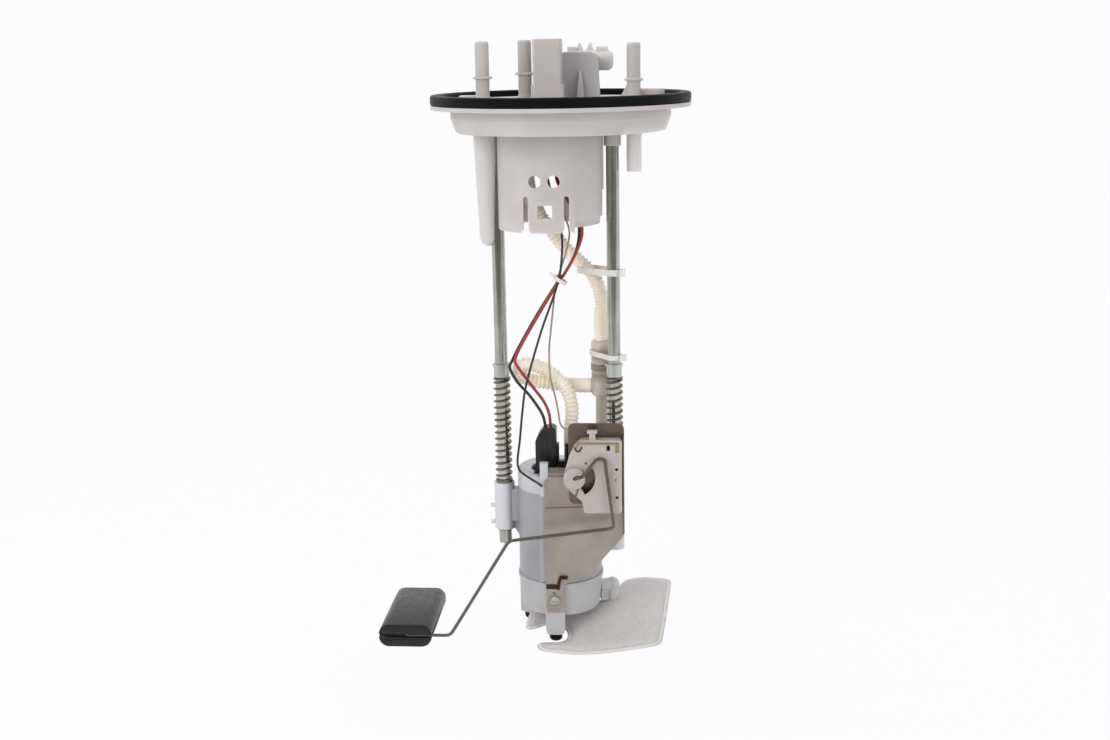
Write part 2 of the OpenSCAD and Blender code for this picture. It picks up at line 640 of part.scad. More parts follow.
// The ball closes the T's lower bore
ball_r = 2;
relief_r = 1.3;
ball_z = reg_low - sqrt(ball_r * ball_r - relief_r * relief_r) - 0.03;
module relief_ball() {
  color(steel) translate([reg_xy[0], reg_xy[1], ball_z]) sphere(r = ball_r, $fn = 32);
}

// Centre line of a coil spring standing on z, with closed end coils
function coil_path(x, y, low, high, r, w, turns, steps) =
  let (rise = high - low - w, dead = 1.02 * w)
  [for (i = [0:turns * steps])
    let (t = i / steps, open = (rise - 2 * dead) / (turns - 2),
         z = t < 1 ? t * dead : t > turns - 1 ? rise - (turns - t) * dead : dead + (t - 1) * open)
    [x + r * cos(360 * t), y + r * sin(360 * t), low + w / 2 + z]];

module relief_spring() {
  path = coil_path(reg_xy[0], reg_xy[1], relief_floor + 0.03, ball_z - ball_r + 0.1, 1.5, 0.5, 6, 10);
  color(steel) wire(path, 0.5, 4);
}

module guide_spring(x) {
  color(steel) wire(coil_path(x, 0, ear_z + seat_gap, -collar_depth - seat_gap, rod_r + 0.2 + spring_wire / 2,
    spring_wire, spring_coils, 12), spring_wire, 5);
}
module spring_left() { guide_spring(left_x); }
module spring_right() { guide_spring(right_x); }

module hose_tie() {
  color(pale) {
    strap([14.2, 12.4], 6, [right_x, 0], rod_r + 0.1, -96.4, 3.6, 1);
    translate([right_x + 3.6, -4.6, -98.6]) cube([3.6, 3, 4.4]);
  }
}

module regulator_tie() {
  color(pale) {
    strap(reg_xy, reg_r + 0.1, [right_x, 0], rod_r + 0.1, reg_top - 7.4, 3, 1);
    translate([right_x + 3.6, -4.6, reg_top - 9.2]) cube([4, 3, 3.6]);
  }
}

module wire_tie() {
  color(pale) translate([-1.6, -10.4, -100.2]) rotate([0, 33, 0]) {
    tube(4.2, 3.5, 2.2);
    translate([-7.6, -1.3, 0.5]) cube([3.6, 2.4, 1.2]);
  }
}

right_ear_h = 42;
module ear(x, h, r) {
  reach = abs(x - module_x) - res_r + 1.4;
  side = x < module_x ? 1 : -1;
  translate([x, 0, ear_z - h]) cylinder(r = r, h = h, $fn = 64);
  // the web from the barrel to the can, and the gusset under it
  translate([side > 0 ? x : x - reach, -4, ear_z - 24]) cube([reach, 8, 20]);
  slab(1, 2) polygon([[x, ear_z - 6], [x + side * reach, ear_z - 6], [x + side * reach, ear_z - 36],
    [x, ear_z - 20]]);
}

module reservoir_can() {
  h = can_top - seam_z;
  color(can_colour) difference() {
    union() {
      translate([module_x, 0, seam_z]) cylinder(r = res_r, h = h, $fn = 96);
      ear(left_x, ear_h, ear_r);
      ear(right_x, right_ear_h, ear_r - 0.8);
      for (z = [-240.5, -251]) translate([left_x - ear_r - 2.6, 0, z]) rotate([0, 90, 0])
        cylinder(r = 1.3, h = 4, $fn = 32);
      // rails that carry the sender's sheet, the left one with its tall tab
      translate([-14.8, sheet_y + seat_gap, seam_z + 2]) cube([6, 5, h - 2]);
      translate([12.6, sheet_y + seat_gap, seam_z + 12]) cube([3, 12, h - 12]);
      // eye for the return tube
      translate([reg_xy[0], reg_xy[1], can_top - 8]) cylinder(r = return_d / 2 + 2.2, h = 6, $fn = 48);
    }
    translate([module_x, 0, seam_z - 1]) cylinder(r = res_r - res_wall, h = h + 2, $fn = 96);
    for (x = [left_x, right_x]) translate([x, 0, -290]) cylinder(r = rod_r + slide_gap, h = 80, $fn = 64);
    translate([reg_xy[0], reg_xy[1], can_top - 10]) cylinder(r = return_d / 2 + 0.3, h = 12, $fn = 48);
  }
}

module reservoir_cap() {
  top = 1.8;
  color(pale) difference() {
    union() {
      translate([module_x, 0, can_top + 0.02]) rotate_extrude($fn = 96) polygon(concat(
        [[0, 0], [res_r, 0], [res_r, cap_h - 1.6]], arc([res_r - 1.2, cap_h - 1.2], 1.2, 10, 90, 4),
        [[0, cap_h]]));
      // the tab that rises in front, in line with the left rail
      translate([-13.9, sheet_y + seat_gap, can_top + 0.02]) cube([4.7, 4.4, 20.6]);
    }
    translate([module_x, 0, can_top - 1]) cylinder(r = res_r - res_wall, h = cap_h - top + 1, $fn = 96);
    translate([module_x - 1.4, -1, cap_z - 4]) cylinder(r = 15.6, h = 8, $fn = 96);
    translate([-10.2, -22.5, cap_z - 4]) cube([16, 12, 8]);
    translate([-18.6, -16.4, cap_z - 4]) cube([24.6, 10, 8]);
  }
}

// Place along X and direction of each leg; the front one carries the sender's screw
legs = [[screw_x, -90], [module_x, 150], [module_x, 50]];
// Distance of a leg's outer face, in line with the sheet's back face
leg_r = -sheet_y - seat_gap;
leg_d = 8;
module reservoir_cup() {
  floor_t = 2;
  taper = 1.5;
  color(nylon) difference() {
    union() {
      translate([module_x, 0, cup_low]) rotate_extrude($fn = 96) polygon(concat([[0, 0]],
        arc([res_r - taper - 2, 2], 2, -90, -5, 6), [[res_r + 0.4, cup_h - 2.2], [res_r + 0.9, cup_h - 2],
        [res_r + 0.9, cup_h - 0.02], [0, cup_h - 0.02]]));
      for (l = legs) translate([l[0], 0, 0]) rotate([0, 0, l[1]]) leg();
    }
    translate([module_x, 0, cup_low + floor_t]) cylinder(r = res_r - taper - 2.2, h = cup_h + 2, $fn = 96);
    // the first-fill valve's holes and the bore of the strainer's neck
    for (a = [0:60:300]) translate([module_x, 0, cup_low - 1]) rotate([0, 0, a + 20]) translate([4.4, 0, 0])
      cylinder(r = 1.2, h = 5, $fn = 24);
    translate([module_x, 0, cup_low - 1]) cylinder(r = 1.55, h = 5, $fn = 24);
    neck_bore(3, 20);
    // the screw's hole in the front leg
    translate([screw_x, sheet_y - 1, screw_z]) rotate([-90, 0, 0]) cylinder(r = 1.3, h = 6, $fn = 32);
  }
}

// A leg with a domed lower end, standing out along X
module leg() {
  half = leg_w / 2;
  translate([leg_r - leg_d, 0, 0]) rotate([90, 0, 90]) linear_extrude(leg_d)
    polygon(concat([[half, seam_z - 1], [-half, seam_z - 1]], arc([-half + 4, leg_low + 4 * sin(50)], 4, 180, 230, 4),
      arc([half - 4, leg_low + 4 * sin(50)], 4, 310, 360, 4)));
}

module rubber_feet() {
  color(black) for (l = legs) translate([l[0], 0, 0]) rotate([0, 0, l[1]])
    translate([leg_r - leg_d / 2, 0, foot_low]) rotate_extrude($fn = 32)
      polygon([[0, 0], [3.2, 0], [3.9, 1], [3.9, foot_h - seat_gap], [0, foot_h - seat_gap]]);
}

neck_angle = 21;
neck_z = -295.8;
neck_reach = 33.4;
neck_xy = [module_x + neck_reach * cos(neck_angle), neck_reach * sin(neck_angle)];
module neck_bore(r, from) {
  translate([module_x, 0, neck_z]) rotate([0, 0, neck_angle]) translate([from, 0, 0]) rotate([0, 90, 0])
    cylinder(r = r, h = neck_reach - from, $fn = 48);
}

module strainer_neck() {
  drop = 12;
  color(pale) difference() {
    union() {
      difference() {
        union() {
          neck_bore(4.1, 10);
          // the web under the elbow
          translate([module_x, 0, neck_z - drop]) rotate([0, 0, neck_angle]) translate([20, -2.6, 0])
            cube([neck_reach - 20, 5.2, drop]);
        }
        translate([module_x, 0, neck_z - 20]) cylinder(r = res_r + 0.3, h = 40, $fn = 96);
      }
      neck_bore(2.95, 21.6);
      translate([neck_xy[0], neck_xy[1], neck_z]) sphere(r = 4.5, $fn = 48);
      translate([neck_xy[0], neck_xy[1], neck_z - drop]) cylinder(r = 4.2, h = drop, $fn = 48);
    }
    neck_bore(1.8, 10);
    translate([neck_xy[0], neck_xy[1], neck_z - drop - 1]) cylinder(r = 2.1, h = drop + 3.4, $fn = 48);
    // the end follows the sock's tilted top
    translate([0, sock_edge_y, -sock_low]) rotate([sock_tilt, 0, 0])
      translate([0, 20, sock_t / 2 + seat_gap - 20]) cube([60, 60, 20]);
  }
}

module umbrella_valve() {
  color(black) translate([module_x, 0, cup_low]) rotate_extrude($fn = 48)
    polygon([[0, -1.4], [2.4, -0.6], [2.4, -0.1], [1.45, -0.1], [1.45, 2.1], [7, 2.1], [7, 2.6],
      [2, 3.6], [0, 3.8]]);
}

module pump_case() {
  color(steel) translate([module_x, 0, pump_low]) difference() {
    cylinder(r = pump_r, h = case_h, $fn = 96);
    translate([0, 0, -1]) cylinder(r = pump_r - case_wall, h = case_h + 2, $fn = 96);
  }
}

case_in = pump_d / 2 - case_wall - seat_gap;
bearing_r = shaft_d / 2 + 0.04;
module pump_end_cap() {
  h = 11;
  low = pump_top - h;
  color(black) difference() {
    union() {
      translate([module_x, 0, low]) cylinder(r = case_in, h = h + 1.4, $fn = 96);
      // the outlet with its barb, and the choke beside the plug
      translate([outlet_x, outlet_y, pump_top]) cylinder(r = 4.4, h = 24, $fn = 48);
      translate([outlet_x, outlet_y, pump_top + 23]) cylinder(r = barb_r, h = 13, $fn = 48);
      translate([-3.6, -18, pump_top + 1]) cube([3.6, 4, 17]);
      translate([-2, -13.6, pump_top + 1]) cube([4.6, 5, 9]);
    }
    // the poppet's chamber over its seat
    translate([outlet_x, outlet_y, low - 1]) cylinder(r = 1.3, h = 60, $fn = 48);
    translate([outlet_x, outlet_y, poppet_seat]) cylinder(r = 2.4, h = 12, $fn = 48);
    // the upper bearing, the brush tunnels and the room over the commutator
    translate([module_x, 0, low - 1]) cylinder(r = bearing_r, h = 9, $fn = 48);
    translate([module_x, 0, low - 1]) cylinder(r = 6.6, h = 5.2, $fn = 48);
    for (a = [90, 270]) translate([module_x, 0, low - 0.5]) rotate([0, 0, a]) translate([5, -2.1, 0])
      cube([11, 4.2, 4.6]);
  }
}

poppet_seat = pump_top + 2;
module check_poppet() {
  color(pale) translate([outlet_x, outlet_y, poppet_seat]) rotate_extrude($fn = 32)
    polygon([[0, -1.6], [0.6, -1.4], [1.2, 0.02], [2.2, 0.1], [2.2, 1.4], [0.9, 1.8], [0.9, 3], [0, 3.2]]);
}

module check_spring() {
  path = coil_path(outlet_x, outlet_y, poppet_seat + 1.7, poppet_seat + 11.9, 1.6, 0.4, 7, 10);
  color(steel) wire(path, 0.4, 4);
}

module pump_inlet_plate() {
  color(black) translate([module_x, 0, pump_low]) difference() {
    union() {
      cylinder(r = case_in, h = 9, $fn = 96);
      translate([8, 0, -4]) cylinder(r = 4, h = 5, $fn = 48);
    }
    translate([8, 0, -5]) cylinder(r = 2.6, h = 10, $fn = 48);
    // the impeller's chamber, its channel and the lower bearing
    translate([0, 0, 4.4]) cylinder(r = impeller_r + 0.15, h = 3, $fn = 96);
    translate([0, 0, 1.6]) cylinder(r = bearing_r, h = 9, $fn = 48);
    translate([0, 0, 3.4]) rotate_extrude($fn = 96) translate([impeller_r - 2.6, 0]) square([2.2, 2]);
  }
}

impeller_r = 14.6;
module impeller() {
  color(pale) translate([module_x, 0, pump_low + 4.6]) difference() {
    cylinder(r = impeller_r, h = 2.6, $fn = 96);
    translate([0, 0, -1]) cylinder(r = shaft_d / 2 + 0.02, h = 6, $fn = 48);
    for (i = [0:impeller_vanes - 1]) rotate([0, 0, i * 360 / impeller_vanes])
      translate([impeller_r - 2.4, -0.7, -1]) cube([1.8, 1.4, 6]);
  }
}

arm_low = pump_low + 13;
arm_len = case_h - 34;
module armature() {
  r = armature_d / 2;
  color(copper) translate([module_x, 0, arm_low]) difference() {
    cylinder(r = r, h = arm_len, $fn = 96);
    translate([0, 0, -1]) cylinder(r = shaft_d / 2 + 0.02, h = arm_len + 2, $fn = 48);
    for (i = [0:armature_slots - 1]) rotate([0, 0, i * 360 / armature_slots])
      translate([r - 5, -0.8, -1]) cube([8, 1.6, arm_len + 2]);
  }
}

comm_r = 5.6;
module commutator() {
  color(copper) translate([module_x, 0, arm_low + arm_len + 1.5]) difference() {
    cylinder(r = comm_r, h = 12.2, $fn = 96);
    translate([0, 0, -1]) cylinder(r = shaft_d / 2 + 0.02, h = 20, $fn = 48);
    for (i = [0:armature_slots - 1]) rotate([0, 0, (i + 0.5) * 360 / armature_slots])
      translate([comm_r - 0.8, -0.25, -1]) cube([2, 0.5, 20]);
  }
}

module motor_shaft() {
  low = pump_low + 2;
  color(steel) translate([module_x, 0, low]) cylinder(d = shaft_d, h = pump_top - 4.2 - low, $fn = 48);
}

module pump_magnets() {
  r = armature_d / 2 + 0.6;
  color(dark_steel) translate([module_x, 0, arm_low - 1]) for (a = [-60, 120]) rotate([0, 0, a])
    rotate_extrude(angle = 120, $fn = 96) translate([r, 0]) square([case_in - r, arm_len + 2]);
}

brush_low = pump_top - 11.4;
module pump_brushes() {
  color(black) translate([module_x, 0, brush_low]) for (a = [90, 270]) rotate([0, 0, a])
    translate([comm_r + 0.1, -2, 0]) cube([5, 4, 4.2]);
}

module brush_springs() {
  color(steel) translate([module_x, 0, brush_low + 2.1]) for (a = [90, 270]) rotate([0, 0, a])
    translate([comm_r + 5.2, 0, 0]) rotate([0, 90, 0])
      wire(coil_path(0, 0, 0, 5, 1.4, 0.4, 5, 8), 0.4, 4);
}

module pump_isolator() {
  sleeve = 1.4;
  reach = res_r - res_wall - seat_gap - pump_r - sleeve / 2;
  color([0.2, 0.2, 0.2]) translate([module_x, 0, pump_low + 6]) {
    difference() {
      cylinder(r = pump_r + sleeve, h = 34, $fn = 96);
      translate([0, 0, -1]) cylinder(r = pump_r + seat_gap, h = 36, $fn = 96);
    }
    for (i = [0:7]) rotate([0, 0, i * 45 + 10]) translate([pump_r + sleeve / 2, -1.5, 1]) cube([reach, 3, 32]);
  }
}

module pump_plug() {
  low = pump_top + 1.4 + seat_gap;
  outline = [[-17.4, low], [-17.4, -196], [-14.8, -190.6], [-12.6, -188], [-7.2, -187], [-5, -188.4],
    [-5.2, low], [-6.4, low], [-6.4, low + 2], [-15.4, low + 2], [-15.4, low]];
  color(black) difference() {
    union() {
      slab(-5.5, 9) polygon(outline);
      // the latch and its bridge at the right, and the ribs in front
      translate([-5.1, -12.4, -212]) cube([1.5, 4.6, 14]);
      for (x = [-14.6, -11.6]) translate([x, -15, -212]) cube([1.2, 0.6, 20]);
    }
    for (p = [[-8.4, -10], [-11.4, -10]]) translate([p[0], p[1], -192]) cylinder(r = 1.05, h = 8, $fn = 24);
  }
}

// The light sheet that hangs on the reservoir's rails and is screwed to the front leg
bracket_left = -11.4;
bracket_right = 35.8;
strap_right = -0.6;
module sender_bracket() {
  outline = concat(
    [[bracket_left, cap_z - 0.2], [bracket_left, -299]],
    [[strap_right, -299], [strap_right, seam_z + 1], [7, -279], [14.5, -274.5], [22.3, -265.4],
     [bracket_right, -249.4], [bracket_right, cap_z - 0.2]]);
  color([0.60, 0.56, 0.54]) difference() {
    union() {
      slab(sheet_y, sheet_t) polygon(rounded(outline, 2));
      // a swage across the sheet, and the lip that leans back over the cap
      slab(sheet_y - 0.4, sheet_t + 0.5) polygon([[bracket_left + 0.6, -233.2], [bracket_left + 0.6, -234.8],
        [11.6, -233.8], [11.6, -232.2]]);
      translate([-9, 0, 0]) rotate([90, 0, 90]) linear_extrude(12) polygon([[sheet_y - sheet_t, cap_z - 1],
        [sheet_y, cap_z - 1], [sheet_y, cap_z + 0.4], [sheet_y + 2.6, cap_z + 6.2], [sheet_y + 2, cap_z + 6.6],
        [sheet_y - sheet_t, cap_z + 0.2]]);
    }
    translate([screw_x, sheet_y + 2, screw_z]) rotate([90, 0, 0]) cylinder(r = 1.6, h = 5, $fn = 32);
    translate([screw_x, sheet_y + 2, -286.6]) rotate([90, 0, 0]) cylinder(r = 0.9, h = 5, $fn = 32);
  }
}

// The dark plate behind the housing, with its folded right edge
module sender_plate() {
  left = 3.3;
  right = 36;
  color(dark_steel) {
    slab(plate_y, sheet_t) polygon(rounded([[left, -230], [right, -230], [right, -180.8], [left, -180.8]], 4));
    translate([right - sheet_t, plate_y - 4, -247.6]) cube([sheet_t, 4, 60]);
  }
}

// Outline of the white housing, in X and Z, counter-clockwise
housing_outline = rounded([[34.6, -233.3], [34.8, -189.2], [11.6, -189.2], [7.4, -192.4], [4.2, -198.8], [1.4, -208.4],
  [0.4, -212], [1, -216.4], [8, -223.2], [11.8, -226.4], [12.4, -233.3]], 2);
window_r = 12;
// The brass strip follows the housing's upper edge and turns down at its right end
strip_outline = [[8.4, -194.6], [10.2, -191.6], [31.2, -191.6], [31.2, -196.4], [33.2, -196.4], [33.2, -190.4],
  [9.6, -190.4], [7.4, -194]];
module sender_housing() {
  color(nylon) difference() {
    union() {
      slab(housing_y, housing_d) polygon(housing_outline);
      // the snap tab on top
      translate([15.9, housing_y - housing_d + 1, -191]) cube([3.6, 2.4, 7]);
      translate([14.8, housing_y - housing_d + 0.4, -185.2]) cube([5.8, 3.6, 1.6]);
    }
    // the cavity, open towards the plate
    slab(housing_y + 1, housing_d + 1 - housing_wall) polygon(inset(housing_outline, housing_wall));
    // the window round the hub
    slab(housing_y + 1, housing_d + 4) polygon(concat(arc(pivot, 5.4, -62, 30, 8), arc(pivot, window_r, 30, -62, 12)));
    translate([pivot[0], housing_y + 1, pivot[1]]) rotate([90, 0, 0])
      cylinder(r = stem_r + 0.05, h = housing_d + 4, $fn = 64);
    // rivet holes, and the slot beside the contact
    for (p = [[31.7, -206.7, 0.9], [31.2, -212.8, 0.5], [31.9, -223.7, 0.9], [13.9, -203, 0.7]])
      translate([p[0], housing_y + 1, p[1]]) rotate([90, 0, 0]) cylinder(r = p[2], h = housing_d + 4, $fn = 24);
    slab(housing_y + 1, housing_d + 4) polygon([[26, -192.2], [28, -192.2], [28, -195.4], [26, -195.4]]);
    // groove of the brass strip
    slab(housing_y - housing_d + 0.5, 2) polygon(inset(strip_outline, -0.1));
  }
}

module sender_contacts() {
  color(brass) slab(housing_y - housing_d + 0.45, 0.6) polygon(strip_outline);
}

// The ceramic card on the plate, with its resistor arc
card_r = 24;
module resistor_card() {
  color([0.85, 0.85, 0.80]) slab(housing_y - seat_gap, card_t)
    polygon(concat(arc(pivot, 15, -52, 62, 12), arc(pivot, card_r - 1, 62, 40, 4), arc(pivot, 22, 25, -52, 8)));
}

// The hub turns with the wire: a disc with a groove for the wire's first reach
arm_start = 23.6;
hub_r = 6.2;
module arm_hub() {
  y = hub_y;
  color(nylon) difference() {
    union() {
      translate([pivot[0], y - hub_t, pivot[1]]) rotate([-90, 0, 0]) cylinder(r = hub_r, h = hub_t, $fn = 96);
      translate([pivot[0], y, pivot[1]]) rotate([-90, 0, 0]) cylinder(r = stem_r, h = stem_l, $fn = 64);
      // hooks that grip the wire
      for (side = [-1, 1]) translate([pivot[0], y - hub_t + 0.1, pivot[1]]) rotate([0, -arm_start, 0])
        translate([3, 0, side * (arm_d / 2 + 0.65)]) rotate([90, 0, 0]) translate([0, -0.5, 0]) cube([2.4, 1, 1.8]);
    }
    // the wire's bore and groove, and the room for its bend
    translate([pivot[0], y - hub_t - 1, pivot[1]]) rotate([0, -arm_start, 0])
      translate([0, 0, -arm_d / 2 - 0.1]) cube([3.4, hub_t + 1.2, arm_d + 0.2]);
    translate([pivot[0], y + 20, pivot[1]]) rotate([90, 0, 0]) cylinder(d = arm_d + 0.1, h = 40, $fn = 32);
    translate([pivot[0], arm_y, pivot[1]]) rotate([0, 90 - arm_start, 0]) cylinder(d = arm_d + 0.16, h = 30, $fn = 32);
  }
}

wiper_angle = 56;
module wiper() {
  tip = [for (a = [-5, 5]) pivot + 19 * [cos(wiper_angle + a), sin(wiper_angle + a)]];
  color(brass) slab(wiper_y, wiper_t)
    polygon(concat(arc(pivot, 3.4, wiper_angle + 30, wiper_angle + 330, 12), tip));
}

// The arm's bends in the plane in front of the housing, and the float's centre
arm_rise = [12.9, -209.2];
arm_top = [20.4, -199.2];
arm_turn = [24.9, -199.2];
arm_knee = [30.2, -241.4];
arm_elbow = [-32, -249.7];
arm_heel = [-68.6, -309.6];
float_c = [-96, -309.8];
float_front = arm_y - arm_d / 2 - 0.6;
module float_wire() {
  reach = 30;
  path = bent([[pivot[0], hub_y + stem_l - 2, pivot[1]], [pivot[0], arm_y, pivot[1]],
    [arm_rise[0], arm_y, arm_rise[1]], [arm_top[0], arm_y, arm_top[1]],
    [arm_turn[0], arm_y, arm_turn[1]], [arm_knee[0], arm_y, arm_knee[1]], [arm_elbow[0], arm_y, arm_elbow[1]],
    [arm_heel[0], arm_y, arm_heel[1]], [float_c[0], arm_y, float_c[1]],
    [float_c[0], arm_y + reach, float_c[1]]], 3, 5);
  color(dark_steel) wire(path, arm_d, 10);
}

module float() {
  w = float_w;
  h = float_h;
  outline = rounded([[-w / 2, -h / 2], [w / 2, -h / 2], [w / 2, h / 2], [-w / 2, h / 2]], 6, 5);
  edge = inset(outline, 0.8);
  color([0.16, 0.16, 0.17]) translate([float_c[0], 0, float_c[1]]) difference() {
    hull() {
      slab(float_front + float_l - 0.8, float_l - 1.6) polygon(outline);
      slab(float_front + float_l, float_l) polygon(edge);
    }
    // the slot that the wire lies in, and the hole of its end
    translate([-w, float_front - 1, -arm_d / 2 - 0.1]) cube([2 * w, arm_d + 1.9, arm_d + 0.2]);
    translate([0, float_front - 1, 0]) rotate([-90, 0, 0]) cylinder(d = arm_d + 0.2, h = 34, $fn = 32);
  }
}

module sender_clip() {
  color([0.25, 0.17, 0.12]) {
    // the tongue over the strap and the hook that goes up from it
    slab(sheet_y - sheet_t - seat_gap, 0.7) polygon([[-11.2, -281.2], [-11.2, -283.8], [-4.4, -283.8], [-4.4, -281.2]]);
    slab(sheet_y - sheet_t - seat_gap, 1.3) polygon(rounded([[-5, -284.2], [-3.2, -284.2], [-2.5, -279],
      [-1.9, -277.4], [1.8, -277.4], [1.8, -275.7], [-3.2, -275.7], [-4.3, -279]], 0.6));
  }
}

module bracket_screw() {
  color(steel) translate([screw_x, sheet_y - sheet_t - seat_gap, screw_z]) rotate([90, 0, 0]) difference() {
    union() {
      rotate_extrude($fn = 48) polygon([[0, 0], [2.9, 0], [2.9, 0.8], [2.2, 1.4], [0, 1.6]]);
      translate([0, 0, -6]) cylinder(r = 1.25, h = 7, $fn = 32);
    }
    translate([-0.35, -1.6, 0.9]) cube([0.7, 3.2, 2]);
    translate([-1.6, -0.35, 0.9]) cube([3.2, 0.7, 2]);
  }
}

// Plan corners of the sock, counter-clockwise, with its notch for the front foot
sock_corners = [[-16, -28.4], [-18, -32], [-14.6, -36.2], [5.5, -39], [23, -37.5], [39.5, -34],
  [57.6, -29.4], [60, -12], [64.4, 32], [47.2, 33.4], [38.8, 30], [33, 22], [24, 17], [17.4, 8], [0, 6],
  [-12, 6], [-23.5, 2], [-26, -13], [-24.8, -16.8], [-21, -17.4], [-12.5, -12.5], [-3, -13.5],
  [1.4, -21], [-0.4, -27.4], [-9, -28.2]];
// Depth of the sock's middle layer under the seat, and the line that it tilts about
sock_low = 322;
sock_edge_y = -40;
module strainer_sock() {
  plan = [for (p = sock_corners) [p[0], (p[1] - sock_edge_y) / cos(sock_tilt)]];
  color(pale) translate([0, sock_edge_y, -sock_low]) rotate([sock_tilt, 0, 0])
    for (l = [[0, 1], [hem_w + 0.6, sock_t - 1.6], [hem_w + 1.6, sock_t]])
      translate([0, 0, -l[1] / 2]) linear_extrude(l[1]) polygon(rounded(inset(plan, l[0]), 5, 2));
}

flange();
seal_ring();
socket_terminals();
pressure_sensor();
vent_valve();
skirt();
rod_left();
rod_right();
spring_collars();
rod_clip();
inner_plug();
hose_delivery();
hose_tie();
wire_tie();
regulator_body();
regulator_band();
regulator_tie();
return_tube();
relief_spring();
relief_ball();
reservoir_can();
reservoir_cap();
reservoir_cup();
rubber_feet();
umbrella_valve();
pump_case();
pump_end_cap();
pump_inlet_plate();
pump_magnets();
pump_brushes();
brush_springs();
pump_isolator();
check_spring();
check_poppet();
armature();
commutator();
motor_shaft();
impeller();
pump_plug();
hose_pump();
spring_left();
spring_right();
wire_red();
wire_black();
sender_wire_black();
sender_wire_tan();
sender_bracket();
sender_plate();
sender_housing();
resistor_card();
sender_contacts();
sender_clip();
bracket_screw();
float_wire();
arm_hub();
wiper();
float();
strainer_sock();
strainer_neck();
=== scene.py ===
import math

import bmesh
import bpy
from mathutils import Matrix, Vector


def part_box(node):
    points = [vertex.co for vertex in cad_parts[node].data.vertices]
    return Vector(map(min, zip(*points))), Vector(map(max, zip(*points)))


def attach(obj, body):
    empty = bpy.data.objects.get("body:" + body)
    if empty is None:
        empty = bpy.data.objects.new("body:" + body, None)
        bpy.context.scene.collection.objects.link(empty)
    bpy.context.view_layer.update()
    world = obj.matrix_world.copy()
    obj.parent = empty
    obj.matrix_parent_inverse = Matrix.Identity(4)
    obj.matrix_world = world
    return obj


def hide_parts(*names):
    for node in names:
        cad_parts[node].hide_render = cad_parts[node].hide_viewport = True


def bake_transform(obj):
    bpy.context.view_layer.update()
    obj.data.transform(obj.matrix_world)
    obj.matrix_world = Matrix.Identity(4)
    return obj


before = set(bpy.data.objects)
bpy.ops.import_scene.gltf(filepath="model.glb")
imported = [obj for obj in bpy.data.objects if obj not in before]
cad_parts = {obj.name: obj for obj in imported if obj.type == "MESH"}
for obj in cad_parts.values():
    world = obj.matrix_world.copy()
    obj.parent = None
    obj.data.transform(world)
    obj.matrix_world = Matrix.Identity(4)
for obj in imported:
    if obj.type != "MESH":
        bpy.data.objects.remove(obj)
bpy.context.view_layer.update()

# The camera stands where the photographer stood: in front of the module and a
# little to its right, level with the tank flange and looking down by 13 degrees.
camera = bpy.data.objects.new("camera", bpy.data.cameras.new("camera"))
bpy.context.scene.collection.objects.link(camera)
bpy.context.scene.camera = camera
camera.data.sensor_width = 36
camera.data.lens = 47
camera.matrix_world = (
    Matrix.Translation((0.0577, -0.846, 0.0365))
    @ Matrix.Rotation(math.radians(4.3), 4, "Z")
    @ Matrix.Rotation(math.radians(90 - 12.75), 4, "X")
    @ Matrix.Rotation(math.radians(-1), 4, "Z")
)
bpy.context.scene.view_settings.view_transform = "Standard"


# The backdrop is a white studio, a trace bluish as in the photograph. The tubes
# mirror it too, but the camera's own side is dark and leaves dark lines on them.
class Signal:
    """A number that changes over a surface, and the shader that its nodes belong to."""
    def __init__(self, shading, socket):
        self.shading, self.socket = shading, socket

    def maths(self, operation, *others):
        return self.shading.add("ShaderNodeMath", {"operation": operation}, (self, *others))

    def __add__(self, other):
        return self.maths("ADD", other)

    def __sub__(self, other):
        return self.maths("SUBTRACT", other)

    def __rsub__(self, other):
        return self.maths("MULTIPLY", -1).maths("ADD", other)

    def __mul__(self, other):
        return self.maths("MULTIPLY", other)

    def __pow__(self, other):
        return self.maths("POWER", other)

    __radd__ = __add__
    __rmul__ = __mul__


class Shading:
    """The nodes of the world or of one material."""
    def __init__(self, owner):
        owner.use_nodes = True
        self.nodes, self.links = owner.node_tree.nodes, owner.node_tree.links

    def plug(self, socket, value):
        if isinstance(value, Signal):
            self.links.new(value.socket, socket)
        else:
            socket.default_value = value

    def add(self, kind, settings=None, values=(), output=0):
        node = self.nodes.new(kind)
        for key, value in (settings or {}).items():
            setattr(node, key, value)
        for key, value in values.items() if isinstance(values, dict) else enumerate(values):
            self.plug(node.inputs[key], value)
        return Signal(self, node.outputs[output])

    def ray(self, kind):
        return self.add("ShaderNodeLightPath", output="Is " + kind + " Ray")


studio = bpy.data.worlds.new("studio")
bpy.context.scene.world = studio
sky = Shading(studio)
direction = sky.add("ShaderNodeTexCoord", output="Generated")
depth = sky.add("ShaderNodeSeparateXYZ", {}, {0: direction}, "Y")
height = sky.add("ShaderNodeSeparateXYZ", {}, {0: direction}, "Z")
back = sky.add("ShaderNodeMapRange", {"interpolation_type": "SMOOTHSTEP"}, {"Value": depth, "From Min": -1,
                                                                             "From Max": -0.8})
facing = sky.add("ShaderNodeMapRange", {}, {"Value": depth, "From Min": -1, "From Max": 0})
above = sky.add("ShaderNodeMapRange", {}, {"Value": height, "From Min": -0.2, "From Max": 1})
lit = facing * 0.5 + above * 0.18 + 0.28
mirrored = back * 0.775 + 0.2
seen = sky.ray("Camera")
shiny = (sky.ray("Glossy") + sky.ray("Transmission")).maths("MINIMUM", 1)
strength = (lit * (1 - shiny) + mirrored * shiny) * (1 - seen) + seen * 0.99
background = sky.nodes["Background"]
sky.plug(background.inputs["Color"], (0.984, 0.984, 1, 1))
sky.plug(background.inputs["Strength"], strength)
